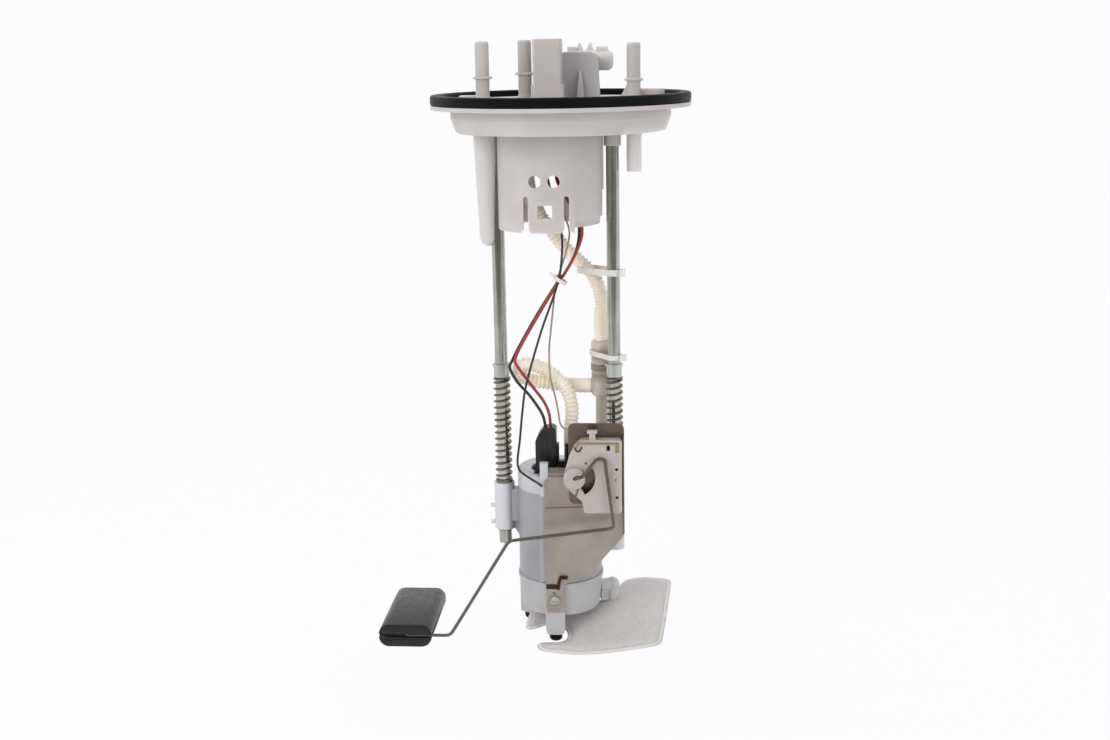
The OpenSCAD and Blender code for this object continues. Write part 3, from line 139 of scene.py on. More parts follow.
for name, place, size, power in (
    ("key", (-0.8, -1.1, 0.35), 0.9, 10.5),
    ("fill", (0.9, -1.0, 0.1), 0.8, 4.0),
    ("top", (-0.15, 0.25, 0.95), 0.8, 4.0),
):
    lamp = bpy.data.objects.new(name, bpy.data.lights.new(name, "AREA"))
    bpy.context.scene.collection.objects.link(lamp)
    lamp.data.size = size
    lamp.data.energy = power
    lamp.visible_glossy = False
    aim = Vector((0, 0, -0.14)) - Vector(place)
    lamp.matrix_world = Matrix.Translation(place) @ aim.to_track_quat("-Z", "Y").to_matrix().to_4x4()


# The floor is white paper a little below the strainer. It looks as white as the
# backdrop, and keeps part of the module's shadow.
def paint(*seen_as):
    """A colour as it looks, in red, green and blue from 0 to 255, as the shader's linear colour."""
    return tuple(((v / 255 + 0.055) / 1.055) ** 2.4 if v > 10 else v / 3295 for v in seen_as) + (1,)


def tinted(colour, factor):
    return tuple(v * factor for v in colour[:3]) + (1,)


class Finish(Shading):
    """A material with one Principled shader."""
    def __init__(self, name, colour, roughness, **sockets):
        self.material = bpy.data.materials.new(name)
        super().__init__(self.material)
        self.shader = self.nodes["Principled BSDF"]
        self.colour = colour
        self.set("Base Color", colour)
        self.set("Roughness", roughness)
        for key, value in sockets.items():
            self.set(key.replace("_", " "), value)

    def set(self, name, value):
        self.plug(self.shader.inputs[name], value)

    def place(self, scale=(1, 1, 1), turn=(0, 0, 0)):
        where = self.add("ShaderNodeTexCoord", output="Object")
        return self.add("ShaderNodeMapping", {}, {"Vector": where, "Scale": scale, "Rotation": turn})

    def along(self, axis):
        """The place along X, Y or Z."""
        where = self.add("ShaderNodeTexCoord", output="Object")
        return self.add("ShaderNodeSeparateXYZ", {}, {0: where}, axis)

    def past(self, signal, start, reach):
        """0 until the signal comes to start, then rising to 1 over reach."""
        return ((signal - start) * (1 / reach)).maths("MAXIMUM", 0).maths("MINIMUM", 1)

    def from_axis(self, x):
        """Distance from the upright line through x."""
        return ((self.along("X") - x) ** 2 + self.along("Y") ** 2) ** 0.5

    def noise(self, scale, detail=3, stretch=(1, 1, 1)):
        return self.add("ShaderNodeTexNoise", {}, {"Vector": self.place(stretch), "Scale": scale,
                                                   "Detail": detail})

    def mix(self, factor, first, second):
        return self.add("ShaderNodeMix", {"data_type": "RGBA"}, {0: factor, 6: first, 7: second}, 2)

    def span(self, signal, low, high):
        """The signal from 0.35 to 0.65, where most of a noise lies, as low to high."""
        return self.add("ShaderNodeMapRange", {}, {"Value": signal, "From Min": 0.35, "From Max": 0.65,
                                                   "To Min": low, "To Max": high})

    def bump(self, height, depth):
        self.set("Normal", self.add("ShaderNodeBump", {}, {"Height": height, "Distance": depth,
                                                           "Strength": 1.0}))

    def coat(self, *nodes):
        for name in nodes:
            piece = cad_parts[name]
            piece.data.materials.clear()
            piece.data.materials.append(self.material)


floor_mesh = bmesh.new()
bmesh.ops.create_grid(floor_mesh, x_segments=1, y_segments=1, size=6)
bmesh.ops.translate(floor_mesh, verts=floor_mesh.verts, vec=(0, 0, -0.352))
floor = bpy.data.objects.new("floor", bpy.data.meshes.new("floor"))
floor_mesh.to_mesh(floor.data)
bpy.context.scene.collection.objects.link(floor)
paper = Finish("paper", (0.82, 0.82, 0.82, 1), 0.9)
near = paper.past(paper.along("Y"), -1.2, 0.4)
seen = paper.ray("Camera")
glow = paper.add("ShaderNodeEmission", {}, {"Color": (0.984, 0.984, 1, 1),
                                            "Strength": seen + (1 - seen) * (near * 0.775 + 0.2)})
shows = (seen + paper.ray("Glossy") + paper.ray("Transmission")).maths("MINIMUM", 1) * 0.95
lit_paper = Signal(paper, paper.shader.outputs[0])
surface = paper.add("ShaderNodeMixShader", {}, {0: shows, 1: lit_paper, 2: glow})
paper.plug(paper.nodes["Material Output"].inputs["Surface"], surface)
floor.data.materials.append(paper.material)


# The flange and the skirt are moulded in natural nylon with glass fibre: warm
# grey-white, slightly clouded by the fibres, and with a fine spark-eroded grain.
def moulded(name, colour, roughness=0.42, cloud=0.05, grain=0.00005, glow=0.4):
    finish = Finish(name, colour, roughness, Subsurface_Weight=glow, Subsurface_Radius=(1, 0.97, 0.92),
                    Subsurface_Scale=0.0035)
    patches = finish.span(finish.noise(45, 4), 0, 1)
    finish.set("Base Color", finish.mix(patches, tinted(colour, 1 - cloud), tinted(colour, 1 + cloud)))
    finish.set("Roughness", finish.span(finish.noise(120, 3), roughness - 0.05, roughness + 0.07))
    finish.bump(finish.noise(2600, 2) + finish.noise(300, 2) * 0.6, grain)
    return finish


def painted_glow(finish, share, colour):
    """The finish is lighter where light comes through a thin wall, by a share from 0 to 1."""
    patches = finish.span(finish.noise(45, 4), 0, 1)
    plain = finish.mix(patches, tinted(finish.colour, 0.96), tinted(finish.colour, 1.04))
    finish.set("Base Color", finish.mix(share, plain, colour))


skirt_middle, skirt_radius = -0.0065, 0.0312
skirt_nylon = moulded("skirt nylon", paint(191, 186, 184), glow=0.9)
# The rod bosses that stand out of the skirt are painted lighter: a painted glow, as of light coming through
# their thin walls.
rod_boss_glow = skirt_nylon.past(skirt_nylon.from_axis(skirt_middle), skirt_radius, 0.003)
painted_glow(skirt_nylon, rod_boss_glow, paint(202, 198, 196))
skirt_nylon.coat("skirt")
deck_nylon = moulded("deck nylon", paint(184, 179, 176))
# Right of the vent and below the deck the flange is painted lighter: a painted glow, as of light coming
# through its thin wall.
at_vent = deck_nylon.past(deck_nylon.along("X"), 0.036, 0.002)
below_deck = deck_nylon.past(0 - deck_nylon.along("Z"), 0.008, 0.01)
painted_glow(deck_nylon, at_vent * below_deck, paint(214, 210, 207))
deck_nylon.coat("flange")

# The seal is a black rubber ring that lies on the rim and is pressed by the
# locking ring. Its skin is dull, with a trace of bloom.
seal = Finish("seal rubber", paint(11, 11, 12), 0.42, Specular_IOR_Level=0.1)
seal.set("Roughness", seal.span(seal.noise(90, 3), 0.38, 0.5))
seal.bump(seal.noise(900, 3), 0.00006)
seal.coat("seal_ring", "rubber_feet", "umbrella_valve", "pump_isolator")


# The blades in the socket, the sender's strips and its wiper are stamped from
# thin brass, bright where they were cut and a little tarnished on the flats.
def metal(name, colour, roughness, stretch=(1, 1, 1), scratch=0.00001):
    finish = Finish(name, colour, roughness, Metallic=1.0)
    lines = finish.noise(500, 4, stretch)
    finish.set("Roughness", finish.span(lines, roughness - 0.06, roughness + 0.1))
    tarnish = finish.span(finish.noise(60, 4), 0, 1)
    finish.set("Base Color", finish.mix(tarnish, tinted(colour, 0.86), tinted(colour, 1.08)))
    finish.bump(lines, scratch)
    return finish


metal("tarnished brass", paint(178, 160, 105), 0.34).coat("socket_terminals", "sender_contacts", "wiper")

# The pressure sensor is a closed box of filled grey plastic with its own lid,
# pushed into the flange.
moulded("sensor grey", paint(179, 178, 181), 0.45, 0.03).coat("pressure_sensor")

# The vent valve's barrel and the cable ties are unfilled nylon, paler and
# smoother than the flange.
pale = moulded("natural nylon", paint(212, 209, 206), 0.36, 0.03, 0.00002)
pale.coat("vent_valve", "hose_tie", "wire_tie", "regulator_tie", "inner_plug")

# The two guide rods are drawn steel tubes with a thin zinc coat. The drawing
# leaves fine lines along them, and the coat is faintly green.
tube_steel = metal("zinc-coated tube", paint(184, 184, 175), 0.14, (1, 1, 0.02), 0.000008)
tube_steel.coat("rod_left", "rod_right", "bracket_screw", "relief_ball", "pump_case", "motor_shaft")

# The spring collars are pressed on the rods and plated, as is the push nut
# under the left ear.
metal("pale plating", paint(205, 210, 203), 0.32).coat("spring_collars")
metal("dark plating", paint(104, 94, 82), 0.36).coat("rod_clip")


# The guide springs are wound from round wire with closed end coils. They push
# the reservoir down on the tank's floor.
def solid(name, mesh, finish, node):
    """A finished piece from a bmesh; it stands for a node of the frame."""
    bmesh.ops.remove_doubles(mesh, verts=mesh.verts, dist=1e-7)
    bmesh.ops.recalc_face_normals(mesh, faces=mesh.faces)
    piece = bpy.data.objects.new(name, bpy.data.meshes.new(name))
    mesh.to_mesh(piece.data)
    mesh.free()
    bpy.context.scene.collection.objects.link(piece)
    piece.data.shade_smooth()
    piece.data.materials.append(finish.material)
    if node:
        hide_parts(node)
    return piece


def wound(name, node, middle, foot, head, radius, wire, coils, steps):
    """A coil spring with closed ends, wound upwards from foot to head round the middle."""
    mesh = bmesh.new()
    ring = bmesh.ops.create_circle(mesh, segments=10, radius=wire)["verts"]
    bmesh.ops.rotate(mesh, verts=ring, matrix=Matrix.Rotation(math.pi / 2, 3, "X"))
    bmesh.ops.translate(mesh, verts=ring, vec=(middle[0] + radius, middle[1], foot + wire))
    mesh.faces.new(ring)
    coil = list(ring) + list({e for v in ring for e in v.link_edges})
    dead = 2.04 * wire
    open_pitch = (head - foot - 2 * wire - 2 * dead) / (coils - 2)
    for turns, pitch in ((1, dead), (coils - 2, open_pitch), (1, dead)):
        coil = bmesh.ops.spin(mesh, geom=coil, cent=(*middle, 0), axis=(0, 0, 1), angle=turns * math.tau,
                              steps=steps * turns, dvec=(0, 0, pitch / steps))["geom_last"]
    mesh.faces.new([v for v in coil if isinstance(v, bmesh.types.BMVert)])
    return solid(name, mesh, spring_steel, node)


ear_top = -0.22525
collar_foot = -0.15935
guide_radius, guide_wire, guide_coils = 0.00465, 0.0006, 18
spring_steel = metal("spring wire", paint(122, 118, 108), 0.26)
for side, x in (("left", -0.0382), ("right", 0.0296)):
    spring = wound("coil_spring_" + side, "spring_" + side, (x, 0), ear_top, collar_foot, guide_radius,
                   guide_wire, guide_coils, 32)
    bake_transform(spring)


# The motor's and the sender's wires leave the plug under the flange, pass a
# cable tie and go down to the pump and the sender.
def curved(points, per):
    """The smooth curve through points that the CAD source also draws, in metres."""
    p = [Vector(q) / 1000 for q in points]
    line = []
    for i in range(len(p) - 1):
        a, b, c, d = p[max(i - 1, 0)], p[i], p[i + 1], p[min(i + 2, len(p) - 1)]
        for k in range(per):
            t = k / per
            line.append(0.5 * (2 * b + (c - a) * t + (2 * a - 5 * b + 4 * c - d) * t * t
                               + (3 * b - a - 3 * c + d) * t ** 3))
    return line + [p[-1]]


def drawn(name, line, radii, finish, node, sides=3):
    """A round wire or hose along a line, with a radius at each point."""
    curve = bpy.data.curves.new(name, "CURVE")
    curve.dimensions = "3D"
    curve.bevel_depth = 1
    curve.bevel_resolution = sides
    curve.use_fill_caps = True
    spline = curve.splines.new("POLY")
    spline.points.add(len(line) - 1)
    for point, place, radius in zip(spline.points, line, radii):
        point.co = (*place, 1)
        point.radius = radius
    source = bpy.data.objects.new(name + "_line", curve)
    bpy.context.scene.collection.objects.link(source)
    shape = bpy.data.meshes.new_from_object(source.evaluated_get(bpy.context.evaluated_depsgraph_get()))
    bpy.data.objects.remove(source)
    mesh = bmesh.new()
    mesh.from_mesh(shape)
    return solid(name, mesh, finish, node)


def insulation(name, colour):
    finish = Finish(name, colour, 0.38)
    finish.set("Base Color", finish.mix(finish.span(finish.noise(140, 3), 0, 1), tinted(colour, 0.9),
                                        tinted(colour, 1.1)))
    finish.bump(finish.noise(700, 2), 0.00003)
    return finish


wires = {
    "wire_red": (0.9, "wire_red", insulation("red insulation", paint(150, 48, 38)), [
        (-2.5, -9, -33), (-2, -9, -42), (4, -9, -52), (10, -9, -62), (11.9, -8, -72.4), (7.9, -9, -84.2),
        (1.3, -10.6, -95.8), (-1.4, -10.8, -99.2), (-13.2, -12.6, -117.9), (-23.8, -14.6, -136),
        (-28, -15.6, -145.1), (-27.2, -15, -149.6), (-19.2, -13.6, -161.4), (-12, -12, -172),
        (-9, -11, -180.2), (-8.4, -10, -189)]),
    "wire_black": (0.9, "black_plastic", insulation("black insulation", paint(38, 36, 36)), [
        (-2.5, -5.5, -33), (-2, -5.5, -42), (3, -6, -52), (8.6, -6, -62), (10.1, -6, -72.4),
        (7.6, -6.8, -84.2), (1.2, -8.8, -95.8), (-1.8, -9.3, -99.2), (-14, -11.2, -117.9),
        (-24.6, -13, -136), (-29.8, -13.8, -146), (-31.6, -14, -151), (-27.4, -14, -159.4),
        (-19.6, -13, -169), (-13, -11.6, -180.2), (-11.4, -10, -189)]),
    "sender_wire_black": (0.7, "black_plastic", insulation("thin black insulation", paint(44, 42, 42)), [
        (-8.5, -9, -33), (-8.3, -9.2, -38), (-6, -11, -46), (-2, -11.4, -58), (0, -11, -70.8),
        (0.4, -11.4, -80), (-0.6, -12.4, -92), (-2.3, -12.7, -100), (-5.4, -13.6, -109.6), (-13, -16, -130.4),
        (-21.6, -18.6, -160), (-24.2, -21, -177), (-25.6, -24, -192), (-27, -26.4, -203.5),
        (-26.4, -28, -208.4), (-24.2, -29, -211.2), (-18.9, -29.4, -214.8), (-14.4, -29.4, -217.8),
        (-12.6, -29.2, -219.4)]),
    "sender_wire_tan": (0.55, "wire_tan", insulation("tan insulation", paint(150, 134, 112)), [
        (-8.5, -4, -33), (-6.5, -4, -46), (-0.5, -4.4, -58), (4.2, -5, -70.8), (2.4, -6, -82.4),
        (-0.6, -8.2, -92), (-2.9, -8.6, -98.6), (-4.1, -7.4, -103.4), (-5.2, -6.8, -111),
        (-7.6, -6.4, -131), (-8.8, -5.4, -142.7), (-8.4, -4.8, -158.7), (-5.6, -5.4, -171), (-3.6, -9, -180),
        (-2.4, -15, -184), (-0.4, -21, -185.4), (2.4, -25.4, -185.8), (5, -27.6, -186.2)]),
}
for name, (radius, slot, finish, route) in wires.items():
    line = curved(route, 8)
    wire = drawn("insulated_" + name, line, [radius / 1000] * len(line), finish, name)
    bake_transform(wire)

# Both hoses are corrugated nylon tube with smooth ends that are shrunk on the
# barbs. The wall is thin, and light goes through it.
hose_nylon = Finish("hose nylon", paint(232, 218, 200), 0.3, Subsurface_Weight=0.35,
                    Subsurface_Radius=(1, 0.8, 0.6), Subsurface_Scale=0.004, Coat_Weight=0.15)
hose_nylon.set("Base Color", hose_nylon.mix(hose_nylon.span(hose_nylon.noise(70, 3), 0, 1),
                                            paint(234, 222, 204), paint(243, 233, 218)))
hose_nylon.bump(hose_nylon.noise(800, 2), 0.00002)
crest, groove, corrugation = 0.0045, 0.0008, 0.0026


def corrugated(name, route, first, last, node):
    line = curved(route, 40)
    length = [0]
    for a, b in zip(line, line[1:]):
        length.append(length[-1] + (b - a).length)
    step = corrugation / 10
    even, at = [], 0
    for k in range(int(length[-1] / step) + 1):
        while length[at + 1] < k * step:
            at += 1
        share = (k * step - length[at]) / (length[at + 1] - length[at])
        even.append(line[at].lerp(line[at + 1], share))
    radii = []
    for k in range(len(even)):
        s = k * step
        begun, left = s - first * length[-1], last * length[-1] - s
        inside = min(1, max(0, begun / 0.002)) * min(1, max(0, left / 0.002))
        wave = 0.5 - 0.5 * math.cos(math.tau * s / corrugation)
        radii.append(crest - groove * inside * wave ** 0.7)
    return drawn(name, even, radii, hose_nylon, node, 6)


delivery = corrugated("delivery_hose", [
    (-21, 8, -18.1), (-21, 8, -32), (-20.5, 8, -46), (-15.5, 9, -61), (-6.6, 10, -73.6), (1, 11, -84),
    (9, 12, -91.6), (16.6, 12.6, -99.4), (20.6, 13.4, -108.8), (22, 14, -118.4), (21.4, 14, -128.5),
    (21.4, 14, -139.9)], 0.33, 0.86, "hose_delivery")
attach(delivery, "flange_unit")
pump_hose = corrugated("pump_hose", [
    (3.1, 2, -200.9), (3.1, 2, -189.5), (3.8, 2, -181), (2.4, 2.4, -172), (-1.6, 3.2, -165),
    (-7.4, 4.4, -159.4), (-14, 6, -155.8), (-20.6, 8, -153.8), (-26.6, 10.2, -154.8), (-29.4, 12, -159),
    (-27, 13.4, -162.8), (-20.4, 14, -165.3), (-12, 14, -166.6), (-2, 14, -167.9), (9.2, 14, -168.2),
    (15.2, 14, -168.2)], 0.06, 0.86, "hose_pump")
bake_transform(pump_hose)

# The regulator's T and the return tube below it are one plastic, browner than
# the ties. The T is painted darker in two bands on its body, painted shade mixed
# with random clouding, and a band clamps it.
regulator = moulded("regulator plastic", paint(198, 189, 180), 0.4)
up = regulator.along("Z")
# Painted shade: two darker bands round the T's body, mixed with random clouding.
painted_shade_bands = sum((1 - ((up - middle) * (1 / reach)).maths("ABSOLUTE").maths("MINIMUM", 1))
             for middle, reach in ((-0.1485, 0.006), (-0.1612, 0.005)))
clouds = regulator.span(regulator.noise(90, 3), -0.1, 0.1)
regulator.set("Base Color", regulator.mix((painted_shade_bands + clouds).maths("MINIMUM", 1), paint(198, 189, 180),
                                          paint(148, 137, 125)))
regulator.coat("regulator_body")
moulded("tube plastic", paint(186, 178, 170), 0.4).coat("return_tube")
moulded("band plastic", paint(132, 121, 111), 0.45).coat("regulator_band")


# The relief valve's small spring stands in the tube and holds the ball up to
# its seat in the T.
def valve_spring(name, node, radius, wire, coils):
    """A small spring where its node stands, with closed end coils."""
    low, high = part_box(node)
    middle = (low + high).xy / 2
    spring = wound(name, node, middle, low.z, high.z, radius, wire, coils, 20)
    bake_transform(spring)


valve_spring("ball_spring", "relief_spring", 0.0015, 0.00025, 6)

# The reservoir is a can with a cap and a cup, welded together. The can is
# bluish and painted darker, painted shade where the pump shows through it; its
# ears are painted lighter, a painted glow of light through their thin walls.
can_middle, can_radius = -0.0043, 0.0296
can = moulded("can plastic", paint(152, 152, 157), 0.4)
painted_glow(can, can.past(can.from_axis(can_middle), can_radius, 0.003), paint(200, 200, 204))
can.coat("reservoir_can")
moulded("cap plastic", paint(190, 189, 193), 0.4).coat("reservoir_cap")
moulded("cup plastic", paint(173, 172, 173), 0.42).coat("reservoir_cup")
moulded("neck plastic", paint(192, 190, 189), 0.42).coat("strainer_neck")

# The pump itself stands inside: a steel case with black end pieces, magnets,
# a wound armature and a side-channel impeller.
black_plastic = moulded("black plastic", paint(22, 21, 22), 0.36, 0.1)
black_plastic.coat("pump_end_cap", "pump_inlet_plate", "pump_plug")
moulded("impeller plastic", paint(200, 190, 170), 0.35).coat("impeller", "check_poppet")
metal("sintered magnet", paint(70, 70, 72), 0.55).coat("pump_magnets")
metal("carbon", paint(40, 40, 42), 0.6).coat("pump_brushes")
metal("copper", paint(196, 126, 84), 0.32).coat("armature", "commutator")

# The outlet's check valve is a poppet under a small spring, and the brushes
# have springs too.
valve_spring("poppet_spring", "check_spring", 0.0016, 0.0002, 7)
spring_steel.coat("brush_springs")

# The level sender's light sheet is screwed to the front leg, and its darker
# plate is riveted on and carries the white housing.
sheet = metal("rolled sheet", paint(178, 167, 160), 0.46, (1, 1, 6), 0.00002)
# The lip above the fold is painted darker, a painted shade where the cap shades it, and a line of painted
# shade runs along the fold.
shade_low, fold_height = -0.2128, -0.2134
painted_shade_above_fold = sheet.past(sheet.along("Z"), shade_low, 0.0012)
painted_shade_at_fold = 1 - sheet.past((sheet.along("Z") - fold_height).maths("ABSOLUTE"), 0.0003, 0.0004)
worn = sheet.span(sheet.noise(60, 4), 0, 1)
plain = sheet.mix(worn, tinted(sheet.colour, 0.86), tinted(sheet.colour, 1.08))
sheet.set("Base Color", sheet.mix((painted_shade_above_fold * 0.55 + painted_shade_at_fold * 0.6).maths("MINIMUM", 1), plain, paint(84, 76, 70)))
sheet.coat("sender_bracket")
metal("dark sheet", paint(126, 114, 102), 0.42).coat("sender_plate")
metal("browned clip", paint(70, 52, 44), 0.4).coat("sender_clip")
moulded("sender nylon", paint(173, 166, 162), 0.4).coat("sender_housing", "arm_hub")
moulded("ceramic", paint(232, 230, 222), 0.3).coat("resistor_card")

# A short red-brown lead runs under the hub to the plate, and a dark spring
# finger sits at the end of the brass strip.
for name, radius, slot, finish, route in (
    ("sender_lead", 0.00035, "wire_red", insulation("lead insulation", paint(112, 62, 50)),
     [(10.6, -36.95, -214.6), (9.4, -36.98, -218), (8, -36.98, -222), (6.9, -36.4, -224.6),
      (6.6, -34.6, -226)]),
    ("contact_finger", 0.00042, "steel_dark", metal("dark spring steel", paint(66, 58, 50), 0.38),
     [(7.4, -36.5, -193), (8, -36.95, -194.8), (9.4, -37, -195.8), (10.8, -36.95, -194.8),
      (11.5, -36.5, -193)]),
):
    line = curved(route, 6)
    piece = drawn(name, line, [radius] * len(line), finish, None)
    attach(piece, "reservoir")

# The float arm is one piece of bent steel wire. It turns in the hub, and its
# end goes into the float.
arm_radius = 0.001
corners = [(7.4, -32.7, -211.6), (7.4, -39.9, -211.6), (12.9, -39.9, -209.2), (20.4, -39.9, -199.2),
           (24.9, -39.9, -199.2), (30.2, -39.9, -241.4), (-32, -39.9, -249.7), (-68.6, -39.9, -309.6),
           (-96, -39.9, -309.8), (-96, -9.9, -309.8)]
bends = [0.5, 2.6, 2.8, 2.2, 2.2, 3, 3, 3, 2.4, 0.5]
line = [Vector(corners[0]) / 1000]
for i in range(1, len(corners) - 1):
    before, at, after = (Vector(corners[i + k]) / 1000 for k in (-1, 0, 1))
    start = at + (before - at).normalized() * bends[i] / 1000
    end = at + (after - at).normalized() * bends[i] / 1000
    for k in range(9):
        t = k / 8
        line.append((1 - t) ** 2 * start + 2 * t * (1 - t) * at + t * t * end)
line.append(Vector(corners[-1]) / 1000)
arm_steel = metal("arm wire", paint(116, 107, 96), 0.28)
arm = drawn("bent_arm", line, [arm_radius] * len(line), arm_steel, "float_wire", 4)
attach(arm, "float_arm")

# The float is a block of closed-cell rubber foam, cut with rounded corners. A
# slot across its front face holds the wire.
def cut(body, tool):
    """The bmesh body less the bmesh tool, as a new bmesh."""
    whole, cutting = (bpy.data.objects.new(n, bpy.data.meshes.new(n)) for n in ("whole", "cutting"))
    for m, shape in ((body, whole), (tool, cutting)):
        bmesh.ops.recalc_face_normals(m, faces=m.faces)
        m.to_mesh(shape.data)
        m.free()
        bpy.context.scene.collection.objects.link(shape)
    difference = whole.modifiers.new("slot", "BOOLEAN")
    difference.object, difference.operation, difference.solver = cutting, "DIFFERENCE", "EXACT"
    left = bpy.data.meshes.new_from_object(whole.evaluated_get(bpy.context.evaluated_depsgraph_get()))
    for shape in (whole, cutting):
        bpy.data.objects.remove(shape)
    mesh = bmesh.new()
    mesh.from_mesh(left)
    return mesh


float_low, float_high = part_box("float")
mesh = bmesh.new()
bmesh.ops.create_cube(mesh, size=1)
bmesh.ops.scale(mesh, verts=mesh.verts, vec=float_high - float_low)
bmesh.ops.translate(mesh, verts=mesh.verts, vec=(float_high + float_low) / 2)
long_edges = [e for e in mesh.edges if abs(e.verts[0].co.y - e.verts[1].co.y) > 0.01]
bmesh.ops.bevel(mesh, geom=long_edges, offset=0.0062, segments=8, profile=0.5, affect="EDGES", material=-1)
rims = [e for e in mesh.edges if abs(e.verts[0].co.y - e.verts[1].co.y) < 1e-6]
bmesh.ops.bevel(mesh, geom=rims, offset=0.0008, segments=3, profile=0.5, affect="EDGES", material=-1)
middle = (float_low.z + float_high.z) / 2
slot_size = Vector((0.06, 0.0058, 0.0022))
cutter = bmesh.new()
bmesh.ops.create_cube(cutter, size=1)
bmesh.ops.scale(cutter, verts=cutter.verts, vec=slot_size)
bmesh.ops.translate(cutter, verts=cutter.verts, vec=((float_low.x + float_high.x) / 2, float_low.y, middle))
mesh = cut(mesh, cutter)
foam = Finish("foam", paint(22, 21, 22), 0.3, Specular_IOR_Level=0.42)
pores = foam.noise(1500, 2)
foam.set("Base Color", foam.mix(foam.span(pores, 0, 1), paint(11, 10, 11), paint(19, 18, 18)))
foam.set("Roughness", foam.span(foam.noise(260, 3), 0.24, 0.36))
foam.bump(pores + foam.noise(500, 2), 0.00012)
block = solid("foam_block", mesh, foam, "float")
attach(block, "float_arm")

# The strainer is a bag of fine woven nylon, welded flat round its edge and held
# open inside. It lies under the cup, tilted up towards the back.
sock_edge, sock_low, tilt = -0.040, -0.322, math.radians(17)
outline = [(-16, -28.4), (-18, -32), (-14.6, -36.2), (5.5, -39), (23, -37.5), (39.5, -34), (57.6, -29.4),
           (60, -12), (64.4, 32), (45.6, 34), (35, 31.2), (30.8, 24.6), (23.8, 17.6), (17.4, 8), (0, 6),
           (-12, 6), (-23.5, 2), (-26, -13), (-24.8, -16.8), (-21, -17.4), (-12.5, -12.5), (-3, -13.5),
           (1.4, -21), (-0.4, -27.4), (-9, -28.2)]
edge_line = []
for i, at in enumerate(outline):
    before, at, after = Vector(outline[i - 1]), Vector(at), Vector(outline[(i + 1) % len(outline)])
    start = at + (before - at).normalized() * min(5, 0.48 * (before - at).length)
    end = at + (after - at).normalized() * min(5, 0.48 * (after - at).length)
    for k in range(6):
        t = k / 5
        p = ((1 - t) ** 2 * start + 2 * t * (1 - t) * at + t * t * end) / 1000
        edge_line.append(Vector((p.x, (p.y - sock_edge) / math.cos(tilt))))


def to_edge(p):
    """Nearest point of the bag's outline, and whether p lies inside it."""
    best, inside = None, False
    for i, b in enumerate(edge_line):
        a = edge_line[i - 1]
        d = b - a
        t = min(1, max(0, (p - a).dot(d) / max(d.length_squared, 1e-12)))
        q = a + d * t
        if best is None or (p - q).length < best[0]:
            best = ((p - q).length, q)
        if (a.y > p.y) != (b.y > p.y) and p.x < a.x + (p.y - a.y) / (b.y - a.y) * d.x:
            inside = not inside
    return best[0], best[1], inside


cell = 0.0013
low_x, high_x = min(p.x for p in edge_line) - cell, max(p.x for p in edge_line) + cell
low_y, high_y = min(p.y for p in edge_line) - cell, max(p.y for p in edge_line) + cell
columns, rows = round((high_x - low_x) / cell), round((high_y - low_y) / cell)
mesh = bmesh.new()
bmesh.ops.create_grid(mesh, x_segments=columns, y_segments=rows, size=0.5)
bmesh.ops.scale(mesh, verts=mesh.verts, vec=(high_x - low_x, high_y - low_y, 1))
bmesh.ops.translate(mesh, verts=mesh.verts, vec=((low_x + high_x) / 2, (low_y + high_y) / 2, 0))
outside = [v for v in mesh.verts if not to_edge(v.co.xy)[2] and to_edge(v.co.xy)[0] > 0.55 * cell]
bmesh.ops.delete(mesh, geom=outside, context="VERTS")
hem_width, hem_half, belly = 0.0026, 0.0004, 0.0024
for v in mesh.verts:
    gap, nearest, inside = to_edge(v.co.xy)
    if v.is_boundary or not inside:
        v.co.x, v.co.y = nearest
        gap = 0
    rise = min(1, max(0, (gap - hem_width) / 0.007))
    puff = math.sqrt(1 - (1 - rise) ** 2)
    ripple = 0.00009 * math.sin(v.co.x * 310 + v.co.y * 90) * math.sin(v.co.y * 260 - v.co.x * 140) * rise
    v.co.z = 0 if gap == 0 else hem_half + (belly - hem_half) * puff + ripple
lower = bmesh.ops.duplicate(mesh, geom=mesh.verts[:] + mesh.edges[:] + mesh.faces[:])
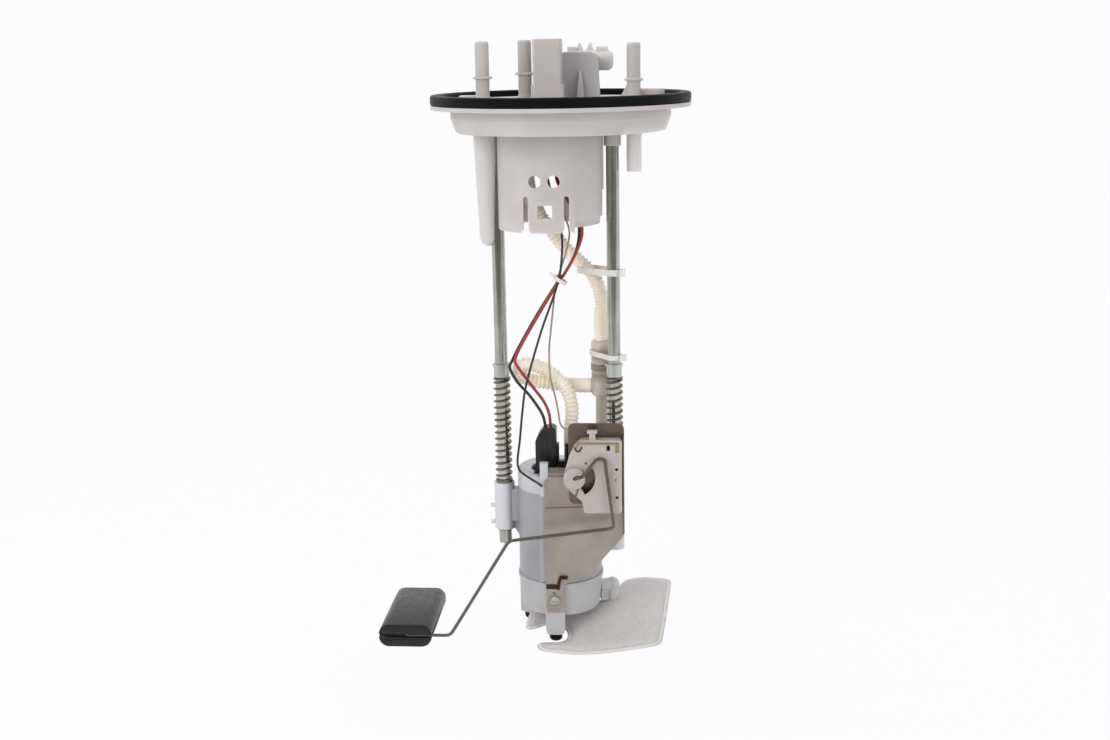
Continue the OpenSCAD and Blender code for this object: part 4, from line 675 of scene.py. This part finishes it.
lower_verts = [v for v in lower["geom"] if isinstance(v, bmesh.types.BMVert)]
bmesh.ops.scale(mesh, verts=lower_verts, vec=(1, 1, -1))
bmesh.ops.reverse_faces(mesh, faces=[f for f in lower["geom"] if isinstance(f, bmesh.types.BMFace)])
bmesh.ops.remove_doubles(mesh, verts=mesh.verts, dist=1e-6)
hem_layer = mesh.verts.layers.float.new("from_edge")
for v in mesh.verts:
    v[hem_layer] = to_edge(v.co.xy)[0]
bmesh.ops.rotate(mesh, verts=mesh.verts, matrix=Matrix.Rotation(tilt, 3, "X"))
bmesh.ops.translate(mesh, verts=mesh.verts, vec=(0, sock_edge, sock_low))
weave = Finish("woven nylon", paint(205, 199, 197), 0.62, Subsurface_Weight=0.2,
               Subsurface_Radius=(1, 0.95, 0.9), Subsurface_Scale=0.003, Sheen_Weight=0.12)
laid = weave.place((1, 1, 1), (-tilt, 0, 0))
across, along = (weave.add("ShaderNodeSeparateXYZ", {}, {0: laid}, axis) for axis in "XY")
thread = 0.0007
warp = (across * (math.tau / thread)).maths("SINE")
weft = (along * (math.tau / thread)).maths("SINE")
threads = warp * weft
from_edge = weave.add("ShaderNodeAttribute", {"attribute_name": "from_edge"}, output="Fac")
cloth = weave.add("ShaderNodeMapRange", {}, {"Value": from_edge, "From Min": 0.0021, "From Max": 0.0027})
line_of_weld = 1 - ((from_edge - hem_width) * 2600).maths("ABSOLUTE").maths("MINIMUM", 1)
tone = weave.mix(weave.span(weave.noise(260, 4), 0, 1), paint(188, 184, 182), paint(197, 192, 190))
sparkle = weave.span(weave.noise(1300, 1), -0.8, 1).maths("MAXIMUM", 0) * 0.3 * cloth
tone = weave.mix(sparkle, tone, paint(226, 223, 220))
tone = weave.mix(1 - cloth, tone, paint(206, 202, 198))
weave.set("Base Color", weave.mix(line_of_weld * 0.5, tone, paint(150, 145, 142)))
weave.bump(threads * cloth * 0.5 + line_of_weld * -1.2, 0.00012)
bag = solid("woven_bag", mesh, weave, "strainer_sock")
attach(bag, "reservoir")
